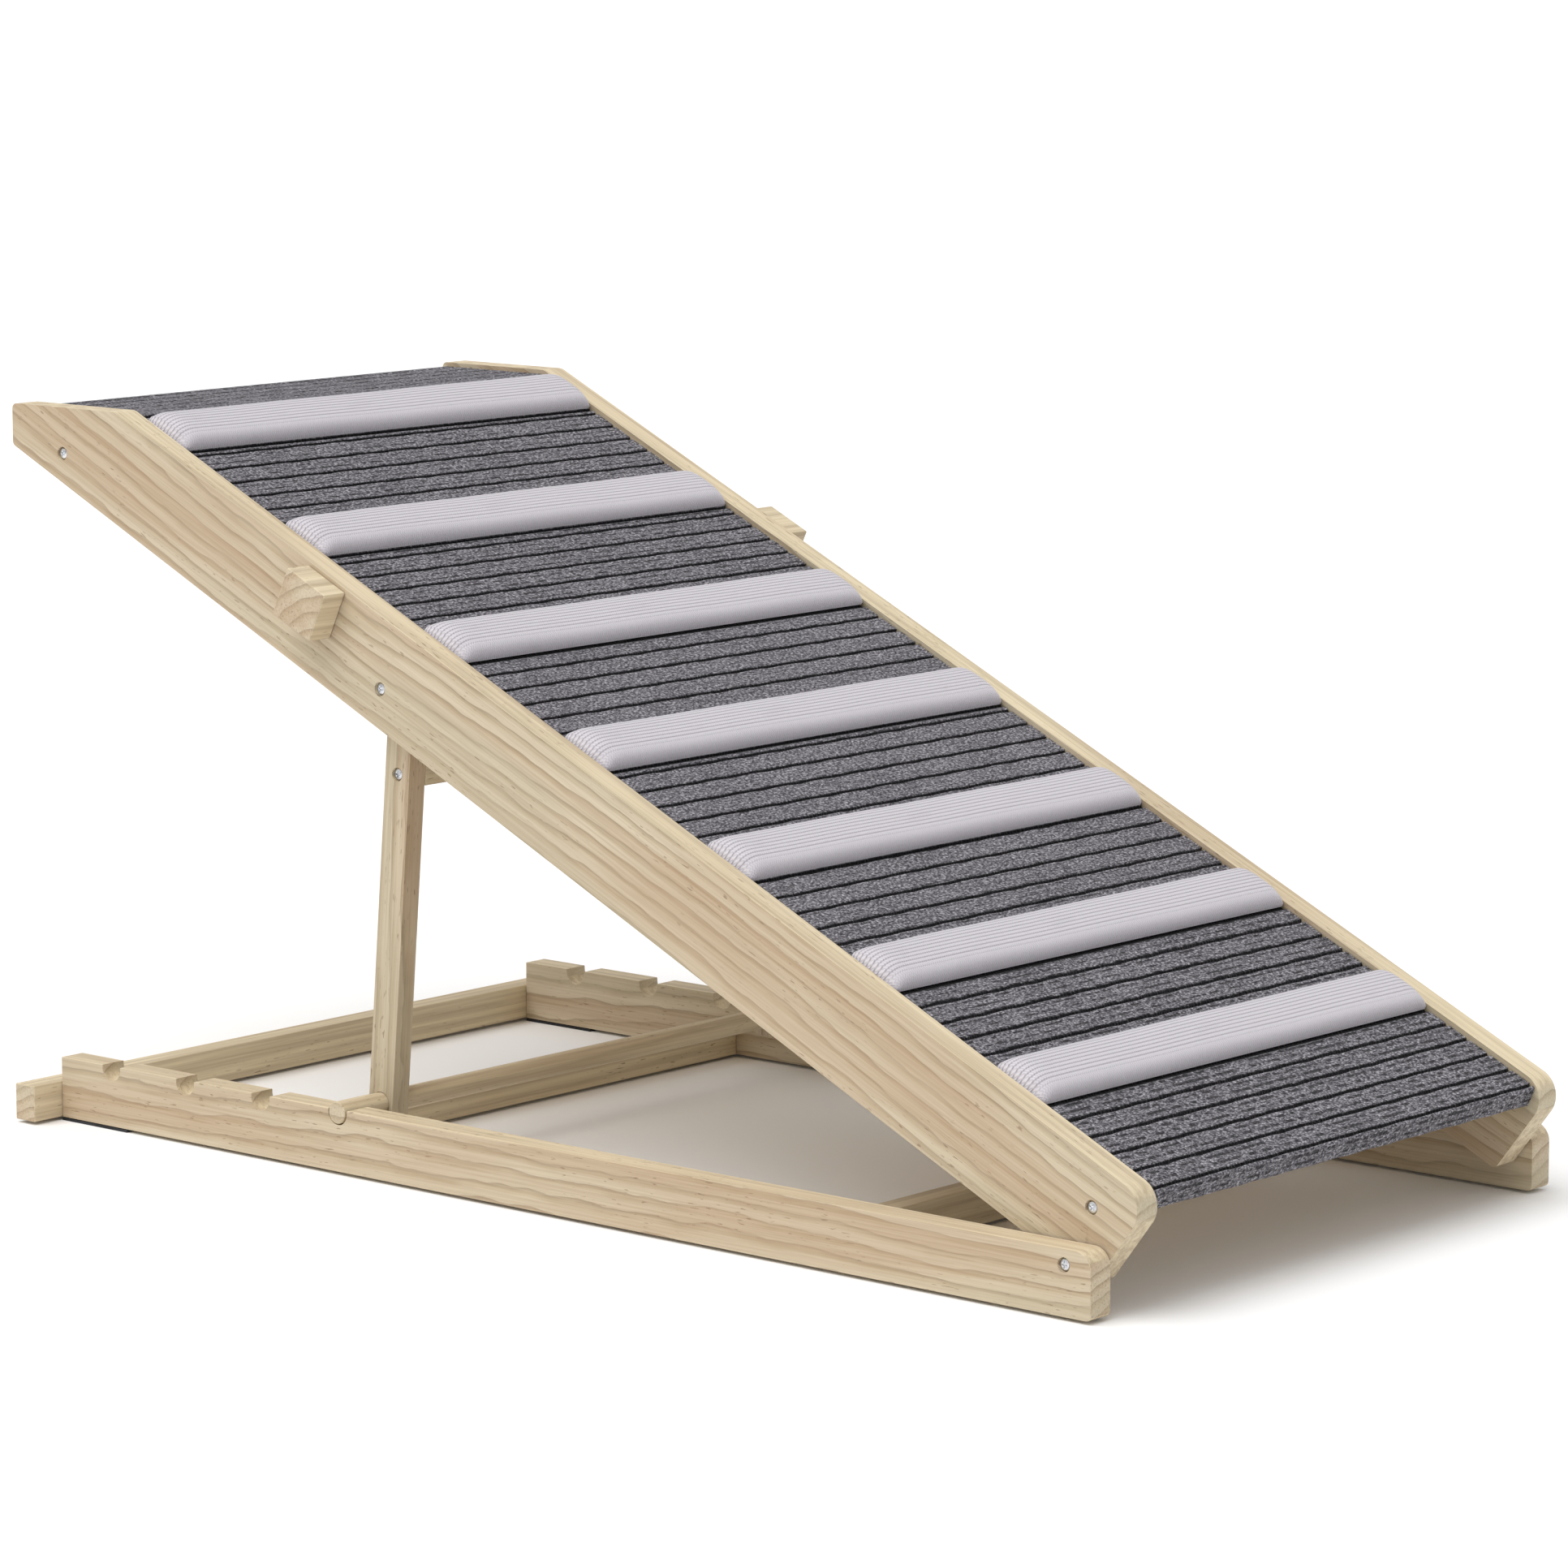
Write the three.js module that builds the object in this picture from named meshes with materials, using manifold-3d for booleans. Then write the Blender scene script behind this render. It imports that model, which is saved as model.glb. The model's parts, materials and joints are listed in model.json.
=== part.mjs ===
// Folding pet ramp: a base frame with notched rails, a carpeted deck hinged to it near the front,
// and a leg frame whose round dowel drops into one pair of the notches.
// Millimetres, +X toward the low front end, +Y to the right-hand rail, +Z up.
import * as THREE from 'three';
import { mergeVertices } from 'three/addons/utils/BufferGeometryUtils.js';
import Module from 'manifold-3d';

const wasm = await Module();
wasm.setup();

// ---------------------------------------------------------------- driving sizes
const FIT = 0.3;                 // gap between pieces that touch
const BASE_LENGTH = 683;         // base rails, end to end
const BASE_WIDTH = 370;          // across the outer faces of the base rails
const RAIL_THICK = 15;           // base rails, deck rails and side blocks
const RAIL_HEIGHT = 32;          // base rails
const RAIL_NOSE_TOP = 9;         // radius of a base rail's upper front corner
const RAIL_NOSE_LOW = 3;         // radius of its lower front corner
const LEG_HEEL_RADIUS = 1;       // lower corners of the legs

const BAR_THICK = 14.3;          // crossbars of the base, along X
const BAR_HEIGHT = 19.1;         // crossbars of the base, along Z
const REAR_BAR_OVERHANG = 19.4;  // rear crossbar past each base rail
const MID_BAR_FRONT = 158.9;     // front face of the mid crossbar from the rails' rear ends
const FRONT_BAR_BACK = 160.6;    // front face of the front crossbar from the rails' front ends
const PIN_RADIUS = 4;            // glued timber pins of the crossbars
const PIN_LENGTH = 24;
const PIN_IN_RAIL = 10;          // how far a pin goes into a rail

const PAD_THICK = 1.4;           // rubber pads under the rear ends
const PAD_LENGTH = 49;

const NOTCH_COUNT = 4;
const NOTCH_FIRST = 38;          // centre of the rearmost notch from the rear end
const NOTCH_PITCH = 55.2;
const NOTCH_PLAY = 2;            // notch wider than the dowel
const NOTCH_WALL = 1.4;          // upright wall above the round bottom of a notch
const SET_NOTCH = 4;             // the notch that the dowel sits in, counted from the rear

const DECK_GAP = 1;              // between a base rail and the deck rail inside it
const HINGE_INSET = 15.5;        // hinge axis from the base rails' front ends
const HINGE_HEIGHT = 24.4;       // hinge axis above the base rails' lower edges
const DECK_BELOW = 8.8;          // hinge axis above the deck rails' lower edges
const DECK_DEPTH = 52.3;         // deck rails, edge to edge
const DECK_RUN = 723.4;          // hinge axis to the bend, along the slope
const PLATFORM = 77.2;           // level top behind the bend
const DECK_NOSE_LOW = 8.7;       // lower end of the deck rails past the hinge axis, at the lower edge
const DECK_NOSE_TOP = 19.9;      // the same at the upper edge
const DECK_NOSE_RADIUS = 13;
const DECK_HEEL_RADIUS = 3;      // lower front corner
const DECK_TAIL_RADIUS = 3;
const DECK_BEND_RADIUS = 8;

const PIVOT_REACH = 498.3;       // hinge axis to the leg pivot, along the slope
const PIVOT_RISE = 9.9;          // leg pivot above the hinge axis, square to the slope
const LEG_REACH = 215.7;         // leg pivot to dowel centre
const LEG_WIDTH = 16.7;
const LEG_THICK = 11.5;
const LEG_GAP = 0.5;             // between a deck rail and the leg inside it
const LEG_TAIL = 9.7;            // leg below the dowel centre
const LEG_BAR_DROP = 45.3;       // leg crossbar centre below the leg pivot
const DOWEL_DIAMETER = 11.2;
const SEAT_GAP = 0.2;            // dowel to notch where it bears
const SEAT_ANGLE = THREE.MathUtils.degToRad(35); // bearing point below level, toward the rear

const CARPET_DROP = 2;           // carpet top below the deck rails' upper edges
const CARPET_THICK = 3.2;
const CARPET_CORNER = 2;
const PANEL_THICK = 8.5;
const SIDE_GAP = 0.4;            // carpet, boards and rungs to the deck rails
const FOLD_OUT = 11.5;           // carpet face past the hinge axis at the low end
const REAR_INSET = 1;            // carpet face inside the deck rails' rear ends

const UPPER_BATTEN_BACK = 39.5;  // batten centre behind the bend
const LOWER_BATTEN_START = 2.6;  // front face of the lower batten above the hinge axis, along the slope
const LOWER_SCREW_REACH = 7.5;
const BATTEN_GAP = 0.4;          // batten to board

const RUNG_COUNT = 7;
const RUNG_WIDTH = 32;
const RUNG_HEIGHT = 9;
const RUNG_LIP = 1.5;            // upright foot of a rung's side
const RUNG_SHOULDER = 11;        // how far the rounded shoulder reaches in
const RUNG_SKIN = 1.4;           // fabric cover
const RUNG_FIRST = 77;           // centre of the lowest rung from the hinge axis
const RUNG_LAST = 24.8;          // centre of the highest rung below the bend
const RUNG_SPREAD = 2.4;         // growth of the pitch from rung to rung up the slope

const BLOCK_REACH = 538.8;       // near end of the side block from the hinge axis
const BLOCK_LENGTH = 28.4;
const BLOCK_BELOW_TOP = 1.5;
const BLOCK_HEIGHT = 26.5;
const BLOCK_SCREW_UP = 6;        // screw above the block's lower edge

const REAR_SCREW = 40;           // screw lengths
const BATTEN_SCREW = 38;
const LEG_SCREW = 34;
const HINGE_BITE = 10;           // how far a hinge screw goes into the deck rail
const TIP_COVER = 2;             // timber left beyond the tip of a leg pivot screw
const BLOCK_TIP_COVER = 3;       // the same beyond a side block's screw
const TIP_ROOM = 0.5;            // hole past a screw's tip
const OVERCUT = 1;               // how far a cutting tool stands out of the face that it cuts

const HEAD_RADIUS = 2.9;
const HEAD_HEIGHT = 1.8;
const HEAD_CROWN = [[1, 1], [0.88, 0.45], [0.55, 0.08], [0, 0]]; // share of the radius, drop from the top
const HEAD_SUNK = 0.4;           // top of a head below the timber
const SINK_RADIUS = 3.6;         // counterbore round a head
const SHANK_RADIUS = 1.9;
const RECESS_LENGTH = 3.2;       // cross recess
const RECESS_WIDTH = 0.8;
const RECESS_DEPTH = 0.9;
const SINK_DEPTH = HEAD_SUNK + HEAD_HEIGHT + FIT;
const HOLE_RADIUS = SHANK_RADIUS + FIT;
const ROUND_STEPS = 16;

// ---------------------------------------------------------------- places worked out from them
const RAIL_Z = PAD_THICK + FIT;
const RAIL_TOP = RAIL_Z + RAIL_HEIGHT;
const BASE_HALF = BASE_WIDTH / 2;
const BASE_INNER = BASE_HALF - RAIL_THICK;
const DECK_HALF = BASE_INNER - DECK_GAP;
const DECK_INNER = DECK_HALF - RAIL_THICK;
const LEG_HALF = DECK_INNER - LEG_GAP;
const DECK_TOP = DECK_DEPTH - DECK_BELOW;
const DOWEL_RADIUS = DOWEL_DIAMETER / 2;
const NOTCH_RADIUS = DOWEL_RADIUS + NOTCH_PLAY / 2;
const NOTCH_WALL_FOOT = RAIL_TOP - NOTCH_WALL;
const HINGE = new THREE.Vector2(BASE_LENGTH - HINGE_INSET, RAIL_Z + HINGE_HEIGHT);
const notchCentre = (number) => NOTCH_FIRST + (number - 1) * NOTCH_PITCH;
const SEAT_SHIFT = NOTCH_RADIUS - DOWEL_RADIUS - SEAT_GAP;
const DOWEL = new THREE.Vector2(
  notchCentre(SET_NOTCH) - SEAT_SHIFT * Math.cos(SEAT_ANGLE),
  NOTCH_WALL_FOOT - SEAT_SHIFT * Math.sin(SEAT_ANGLE),
);

// The hinge, the leg pivot and the dowel make a triangle, which sets the slope and the leg's lean.
const PIVOT_RADIUS = Math.hypot(PIVOT_REACH, PIVOT_RISE);
const DOWEL_RANGE = HINGE.distanceTo(DOWEL);
const APEX = Math.acos((PIVOT_RADIUS ** 2 + DOWEL_RANGE ** 2 - LEG_REACH ** 2)
  / (2 * PIVOT_RADIUS * DOWEL_RANGE));
const DOWEL_RISE = Math.atan2(DOWEL.y - HINGE.y, HINGE.x - DOWEL.x);
const SLOPE = DOWEL_RISE + APEX - Math.atan2(PIVOT_RISE, PIVOT_REACH);
const PIVOT = new THREE.Vector2(
  HINGE.x - PIVOT_REACH * Math.cos(SLOPE) + PIVOT_RISE * Math.sin(SLOPE),
  HINGE.y + PIVOT_REACH * Math.sin(SLOPE) + PIVOT_RISE * Math.cos(SLOPE),
);
const LEAN = Math.atan2(PIVOT.x - DOWEL.x, PIVOT.y - DOWEL.y);

// ---------------------------------------------------------------- finishes
const finish = (color, roughness, metalness = 0) => new THREE.MeshStandardMaterial({
  color,
  roughness,
  metalness,
});
const FINISHES = {
  pine: () => finish(0xcdbe9e, 0.6),
  plywood: () => finish(0xb9a47e, 0.7),
  carpet: () => finish(0x4b4950, 0.95),
  rungFabric: () => finish(0xcdc8d0, 0.9),
  foam: () => finish(0xe4e0d6, 0.9),
  rubber: () => finish(0x16161a, 0.8),
  steel: () => finish(0xc9cbd0, 0.3, 1),
};

// ---------------------------------------------------------------- solid tools
function toSolid(geometry) {
  const bare = geometry.clone();
  for (const name of Object.keys(bare.attributes)) {
    if (name !== 'position') bare.deleteAttribute(name);
  }
  const merged = mergeVertices(bare, 1e-4);
  return new wasm.Manifold(new wasm.Mesh({
    numProp: 3,
    vertProperties: new Float32Array(merged.attributes.position.array),
    triVerts: new Uint32Array(merged.index.array),
  }));
}

function toGeometry(solid) {
  const mesh = solid.getMesh();
  const geometry = new THREE.BufferGeometry();
  geometry.setAttribute('position', new THREE.BufferAttribute(mesh.vertProperties, mesh.numProp));
  geometry.setIndex(new THREE.BufferAttribute(mesh.triVerts, 1));
  geometry.computeVertexNormals();
  return geometry;
}

function cut(geometry, ...tools) {
  let solid = toSolid(geometry);
  for (const tool of tools) solid = solid.subtract(toSolid(tool));
  return toGeometry(solid);
}

// A side profile, drawn in X and Z, made thick along Y from yLow to yHigh.
function slab(shape, yLow, yHigh, curveSegments = 12) {
  const geometry = new THREE.ExtrudeGeometry(shape, {
    depth: yHigh - yLow,
    bevelEnabled: false,
    curveSegments,
  });
  geometry.rotateX(Math.PI / 2);
  geometry.translate(0, yHigh, 0);
  return geometry;
}

function block(xLow, xHigh, yLow, yHigh, zLow, zHigh) {
  const geometry = new THREE.BoxGeometry(xHigh - xLow, yHigh - yLow, zHigh - zLow);
  geometry.translate((xLow + xHigh) / 2, (yLow + yHigh) / 2, (zLow + zHigh) / 2);
  return geometry;
}

// A round bar along Y.
function barY(x, z, radius, yLow, yHigh, steps = ROUND_STEPS) {
  const geometry = new THREE.CylinderGeometry(radius, radius, yHigh - yLow, steps);
  geometry.translate(x, (yLow + yHigh) / 2, z);
  return geometry;
}

// A round bar along X.
function barX(y, z, radius, xLow, xHigh, steps = ROUND_STEPS) {
  const geometry = new THREE.CylinderGeometry(radius, radius, xHigh - xLow, steps);
  geometry.rotateZ(Math.PI / 2);
  geometry.translate((xLow + xHigh) / 2, y, z);
  return geometry;
}

// Points in order, each either [x, z] or [x, z, radius] for a rounded corner.
function outline(points) {
  const shape = new THREE.Shape();
  const count = points.length;
  const at = (i) => new THREE.Vector2(points[(i + count) % count][0], points[(i + count) % count][1]);
  for (let i = 0; i < count; i += 1) {
    const corner = at(i);
    const radius = points[i][2] ?? 0;
    const before = at(i - 1).sub(corner).normalize();
    const after = at(i + 1).sub(corner).normalize();
    const reach = radius > 0 ? radius / Math.tan(Math.acos(before.dot(after)) / 2) : 0;
    const start = corner.clone().addScaledVector(before, reach);
    const end = corner.clone().addScaledVector(after, reach);
    if (i === 0) shape.moveTo(start.x, start.y);
    else shape.lineTo(start.x, start.y);
    if (radius > 0) {
      const middle = before.add(after).normalize();
      const depth = Math.hypot(radius, reach);
      const centre = corner.clone().addScaledVector(middle, depth);
      const from = Math.atan2(start.y - centre.y, start.x - centre.x);
      const to = Math.atan2(end.y - centre.y, end.x - centre.x);
      const turn = Math.atan2(Math.sin(to - from), Math.cos(to - from));
      shape.absarc(centre.x, centre.y, radius, from, to, turn < 0);
    }
  }
  shape.closePath();
  return shape;
}

function piece(name, geometry, material) {
  const mesh = new THREE.Mesh(geometry, material);
  mesh.name = name;
  return mesh;
}

// The left rail is on the -Y side; a pair is the left piece and its mirror image.
const SIDES = [
  { side: 'left', sign: -1 },
  { side: 'right', sign: 1 },
];
const across = (sign, inner, outer) => (sign < 0 ? [-outer, -inner] : [inner, outer]);

// From a face at yFace into the timber, which lies on the side away from sign.
const inward = (sign, yFace, start, depth) => (
  sign > 0 ? [yFace - depth, yFace - start] : [yFace + start, yFace + depth]
);

// ---------------------------------------------------------------- screws
// Made along -Y with the top of the head at y = 0, then turned to point the way asked for.
function screwGeometry(length) {
  const profile = [
    new THREE.Vector2(0, -length),
    new THREE.Vector2(SHANK_RADIUS, -(length - 2 * SHANK_RADIUS)),
    new THREE.Vector2(SHANK_RADIUS, -HEAD_HEIGHT),
    new THREE.Vector2(HEAD_RADIUS, -HEAD_HEIGHT),
    ...HEAD_CROWN.map(([share, drop]) => new THREE.Vector2(HEAD_RADIUS * share, -drop)),
  ];
  const body = new THREE.LatheGeometry(profile, ROUND_STEPS);
  const slotA = new THREE.BoxGeometry(RECESS_LENGTH, 2 * RECESS_DEPTH, RECESS_WIDTH);
  const slotB = new THREE.BoxGeometry(RECESS_WIDTH, 2 * RECESS_DEPTH, RECESS_LENGTH);
  return cut(body, slotA, slotB);
}

// A screw across the frame; its head lies in the face at yFace and it points toward -sign.
function crossScrew(name, x, z, yFace, sign, length) {
  const geometry = screwGeometry(length);
  if (sign < 0) geometry.rotateZ(Math.PI);
  geometry.translate(x, yFace - sign * HEAD_SUNK, z);
  return piece(name, geometry, FINISHES.steel());
}

// The cuts that such a screw needs: a counterbore and a clearance hole.
function screwCuts(x, z, yFace, sign, depth) {
  return [
    barY(x, z, SINK_RADIUS, ...inward(sign, yFace, -OVERCUT, SINK_DEPTH)),
    barY(x, z, HOLE_RADIUS, ...inward(sign, yFace, 0, depth + OVERCUT)),
  ];
}

// ---------------------------------------------------------------- base frame
function baseRailShape() {
  const shape = new THREE.Shape();
  shape.moveTo(0, RAIL_Z);
  shape.lineTo(BASE_LENGTH - RAIL_NOSE_LOW, RAIL_Z);
  shape.absarc(BASE_LENGTH - RAIL_NOSE_LOW, RAIL_Z + RAIL_NOSE_LOW, RAIL_NOSE_LOW, -Math.PI / 2, 0, false);
  shape.lineTo(BASE_LENGTH, RAIL_TOP - RAIL_NOSE_TOP);
  shape.absarc(BASE_LENGTH - RAIL_NOSE_TOP, RAIL_TOP - RAIL_NOSE_TOP, RAIL_NOSE_TOP, 0, Math.PI / 2, false);
  for (let number = NOTCH_COUNT; number >= 1; number -= 1) {
    const x = notchCentre(number);
    shape.lineTo(x + NOTCH_RADIUS, RAIL_TOP);
    shape.lineTo(x + NOTCH_RADIUS, NOTCH_WALL_FOOT);
    shape.absarc(x, NOTCH_WALL_FOOT, NOTCH_RADIUS, 0, Math.PI, true);
    shape.lineTo(x - NOTCH_RADIUS, RAIL_TOP);
  }
  shape.lineTo(0, RAIL_TOP);
  shape.closePath();
  return shape;
}

const HINGE_SCREW = RAIL_THICK + DECK_GAP + HINGE_BITE;
const BAR_CENTRE_Z = RAIL_Z + BAR_HEIGHT / 2;
const RAIL_MIDDLE = BASE_HALF - RAIL_THICK / 2;
const REAR_BAR_BACK = -FIT - BAR_THICK;
const INNER_BARS = [
  { name: 'mid', front: MID_BAR_FRONT },
  { name: 'front', front: BASE_LENGTH - FRONT_BAR_BACK },
];

function baseRail({ side, sign }) {
  const [low, high] = across(sign, BASE_INNER, BASE_HALF);
  const rail = slab(baseRailShape(), low, high);
  const pinHoles = INNER_BARS.map(({ front }) => {
    const [pinLow, pinHigh] = across(sign, BASE_INNER - OVERCUT, BASE_INNER + PIN_IN_RAIL + FIT);
    return barY(front - BAR_THICK / 2, BAR_CENTRE_Z, PIN_RADIUS + FIT, pinLow, pinHigh);
  });
  const endHole = barX(sign * RAIL_MIDDLE, BAR_CENTRE_Z, HOLE_RADIUS, -OVERCUT, REAR_SCREW);
  const hingeCuts = screwCuts(HINGE.x, HINGE.y, sign * BASE_HALF, sign, RAIL_THICK);
  return piece(`base_rail_${side}`, cut(rail, ...pinHoles, endHole, ...hingeCuts), FINISHES.pine());
}

function rearCrossbar() {
  const half = BASE_HALF + REAR_BAR_OVERHANG;
  const bar = block(REAR_BAR_BACK, -FIT, -half, half, RAIL_Z, RAIL_Z + BAR_HEIGHT);
  const cuts = SIDES.flatMap(({ sign }) => {
    const y = sign * RAIL_MIDDLE;
    return [
      barX(y, BAR_CENTRE_Z, SINK_RADIUS, REAR_BAR_BACK - OVERCUT, REAR_BAR_BACK + SINK_DEPTH),
      barX(y, BAR_CENTRE_Z, HOLE_RADIUS, REAR_BAR_BACK, OVERCUT),
    ];
  });
  return piece('rear_crossbar', cut(bar, ...cuts), FINISHES.pine());
}

function rearScrew({ side, sign }) {
  const geometry = screwGeometry(REAR_SCREW);
  geometry.rotateZ(Math.PI / 2);
  geometry.translate(REAR_BAR_BACK + HEAD_SUNK, sign * RAIL_MIDDLE, BAR_CENTRE_Z);
  return piece(`rear_bar_screw_${side}`, geometry, FINISHES.steel());
}

function innerCrossbar({ name, front }) {
  const half = BASE_INNER - FIT;
  const bar = block(front - BAR_THICK, front, -half, half, RAIL_Z, RAIL_Z + BAR_HEIGHT);
  const pinInBar = PIN_LENGTH - PIN_IN_RAIL + FIT;
  const holes = SIDES.map(({ sign }) => {
    const [low, high] = across(sign, BASE_INNER - pinInBar, BASE_INNER + OVERCUT);
    return barY(front - BAR_THICK / 2, BAR_CENTRE_Z, PIN_RADIUS + FIT, low, high);
  });
  return piece(`${name}_crossbar`, cut(bar, ...holes), FINISHES.pine());
}

function barPin({ name, front }, { side, sign }) {
  const [low, high] = across(sign, BASE_INNER + PIN_IN_RAIL - PIN_LENGTH, BASE_INNER + PIN_IN_RAIL);
  const pin = barY(front - BAR_THICK / 2, BAR_CENTRE_Z, PIN_RADIUS, low, high);
  return piece(`${name}_bar_pin_${side}`, pin, FINISHES.pine());
}

function footPad({ side, sign }) {
  const [low, high] = across(sign, BASE_INNER, BASE_HALF);
  return piece(`foot_pad_${side}`, block(0, PAD_LENGTH, low, high, 0, PAD_THICK), FINISHES.rubber());
}

function baseFrame() {
  const group = new THREE.Group();
  group.add(rearCrossbar());
  for (const bar of INNER_BARS) {
    group.add(innerCrossbar(bar));
    for (const side of SIDES) group.add(barPin(bar, side));
  }
  for (const side of SIDES) {
    group.add(baseRail(side), footPad(side), rearScrew(side));
    const name = `hinge_screw_${side.side}`;
    group.add(crossScrew(name, HINGE.x, HINGE.y, side.sign * BASE_HALF, side.sign, HINGE_SCREW));
  }
  return group;
}

// ---------------------------------------------------------------- deck
// The deck's own frame: origin on the hinge axis, +X down the slope, +Z square to it.
const BEND = new THREE.Vector2(-DECK_RUN, DECK_TOP);
const REARWARD = new THREE.Vector2(-Math.cos(SLOPE), -Math.sin(SLOPE));
const DOWNWARD = new THREE.Vector2(Math.sin(SLOPE), -Math.cos(SLOPE));
const HALF_BEND = Math.tan(SLOPE / 2);

// A point measured level back from the bend and plumb down from the platform's top.
function platformPoint(back, down) {
  const point = BEND.clone().addScaledVector(REARWARD, back).addScaledVector(DOWNWARD, down);
  return [point.x, point.y];
}
const bendPoint = (drop) => platformPoint(drop * HALF_BEND, drop);

const PANEL_DROP = CARPET_DROP + CARPET_THICK + FIT;
const PANEL_BOTTOM = PANEL_DROP + PANEL_THICK;
const FOLD_BOTTOM = PANEL_BOTTOM;
const BATTEN_TOP = PANEL_BOTTOM + BATTEN_GAP;
const INSIDE = DECK_INNER - SIDE_GAP;
const REAR_FACE = PLATFORM - REAR_INSET;
const UPPER_BATTEN = platformPoint(UPPER_BATTEN_BACK, BATTEN_TOP + BAR_HEIGHT / 2);
const LOWER_BATTEN_Z = DECK_TOP - BATTEN_TOP - LEG_THICK / 2;
const BLOCK_LOW = DECK_TOP - BLOCK_BELOW_TOP - BLOCK_HEIGHT;
const PIVOT_SCREW = RAIL_THICK + LEG_GAP + LEG_THICK - TIP_COVER;
const BLOCK_SCREW = 2 * RAIL_THICK - BLOCK_TIP_COVER;

const OUTER_SCREWS = [
  { name: 'upper_batten_screw', x: UPPER_BATTEN[0], z: UPPER_BATTEN[1], length: BATTEN_SCREW },
  { name: 'lower_batten_screw', x: -LOWER_SCREW_REACH, z: LOWER_BATTEN_Z, length: BATTEN_SCREW },
  { name: 'leg_pivot_screw', x: -PIVOT_REACH, z: PIVOT_RISE, length: PIVOT_SCREW },
];
const BLOCK_SCREW_AT = [-(BLOCK_REACH + BLOCK_LENGTH / 2), BLOCK_LOW + BLOCK_SCREW_UP];

function deckRailShape() {
  const rearTop = platformPoint(PLATFORM, 0);
  const rearDrop = (rearTop[1] + DECK_BELOW) / Math.cos(SLOPE);
  return outline([
    [DECK_NOSE_LOW, -DECK_BELOW, DECK_HEEL_RADIUS],
    [DECK_NOSE_TOP, DECK_TOP, DECK_NOSE_RADIUS],
    [BEND.x, BEND.y, DECK_BEND_RADIUS],
    [...rearTop, DECK_TAIL_RADIUS],
    [...platformPoint(PLATFORM, rearDrop), DECK_TAIL_RADIUS],
  ]);
}

function deckRail({ side, sign }) {
  const [low, high] = across(sign, DECK_INNER, DECK_HALF);
  const cuts = OUTER_SCREWS.flatMap(({ x, z }) => screwCuts(x, z, sign * DECK_HALF, sign, RAIL_THICK));
  const hingeBore = inward(sign, sign * DECK_HALF, -OVERCUT, HINGE_BITE + TIP_ROOM);
  const hingeHole = barY(0, 0, HOLE_RADIUS, ...hingeBore);
  const blockCuts = screwCuts(...BLOCK_SCREW_AT, sign * DECK_INNER, -sign, RAIL_THICK);
  const rail = cut(slab(deckRailShape(), low, high), ...cuts, hingeHole, ...blockCuts);
  return piece(`deck_rail_${side}`, rail, FINISHES.pine());
}

function deckPanel() {
  const front = FOLD_OUT - CARPET_THICK - FIT;
  const shape = outline([
    [front, DECK_TOP - PANEL_BOTTOM],
    [front, DECK_TOP - PANEL_DROP],
    [bendPoint(PANEL_DROP)[0] + FIT, DECK_TOP - PANEL_DROP],
    [bendPoint(PANEL_BOTTOM)[0] + FIT, DECK_TOP - PANEL_BOTTOM],
  ]);
  return piece('deck_panel', slab(shape, -INSIDE, INSIDE), FINISHES.plywood());
}

function platformPanel() {
  const rear = REAR_FACE - CARPET_THICK - FIT;
  const shape = outline([
    bendPoint(PANEL_BOTTOM),
    bendPoint(PANEL_DROP),
    platformPoint(rear, PANEL_DROP),
    platformPoint(rear, PANEL_BOTTOM),
  ]);
  return piece('platform_panel', slab(shape, -INSIDE, INSIDE), FINISHES.plywood());
}

function deckCarpet() {
  const inner = CARPET_DROP + CARPET_THICK;
  const shape = outline([
    [FOLD_OUT - CARPET_THICK, DECK_TOP - FOLD_BOTTOM],
    [FOLD_OUT, DECK_TOP - FOLD_BOTTOM],
    [FOLD_OUT, DECK_TOP - CARPET_DROP, CARPET_CORNER],
    bendPoint(CARPET_DROP),
    [...platformPoint(REAR_FACE, CARPET_DROP), CARPET_CORNER],
    platformPoint(REAR_FACE, FOLD_BOTTOM),
    platformPoint(REAR_FACE - CARPET_THICK, FOLD_BOTTOM),
    platformPoint(REAR_FACE - CARPET_THICK, inner),
    bendPoint(inner),
    [FOLD_OUT - CARPET_THICK, DECK_TOP - inner],
  ]);
  return piece('deck_carpet', slab(shape, -INSIDE, INSIDE, 4), FINISHES.carpet());
}

function upperBatten() {
  const half = BAR_THICK / 2;
  const shape = outline([
    platformPoint(UPPER_BATTEN_BACK - half, BATTEN_TOP + BAR_HEIGHT),
    platformPoint(UPPER_BATTEN_BACK - half, BATTEN_TOP),
    platformPoint(UPPER_BATTEN_BACK + half, BATTEN_TOP),
    platformPoint(UPPER_BATTEN_BACK + half, BATTEN_TOP + BAR_HEIGHT),
  ]);
  return batten('upper_batten', shape, UPPER_BATTEN);
}

function lowerBatten() {
  const top = DECK_TOP - BATTEN_TOP;
  const shape = outline([
    [-LOWER_BATTEN_START, top - LEG_THICK],
    [-LOWER_BATTEN_START, top],
    [-LOWER_BATTEN_START - LEG_WIDTH, top],
    [-LOWER_BATTEN_START - LEG_WIDTH, top - LEG_THICK],
  ]);
  return batten('lower_batten', shape, [-LOWER_SCREW_REACH, LOWER_BATTEN_Z]);
}

function batten(name, shape, [x, z]) {
  const half = DECK_INNER - FIT;
  const reach = BATTEN_SCREW + HEAD_SUNK - RAIL_THICK + FIT;
  const holes = SIDES.map(({ sign }) => {
    const [low, high] = across(sign, DECK_INNER - reach, DECK_INNER + OVERCUT);
    return barY(x, z, HOLE_RADIUS, low, high);
  });
  return piece(name, cut(slab(shape, -half, half), ...holes), FINISHES.pine());
}

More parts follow.
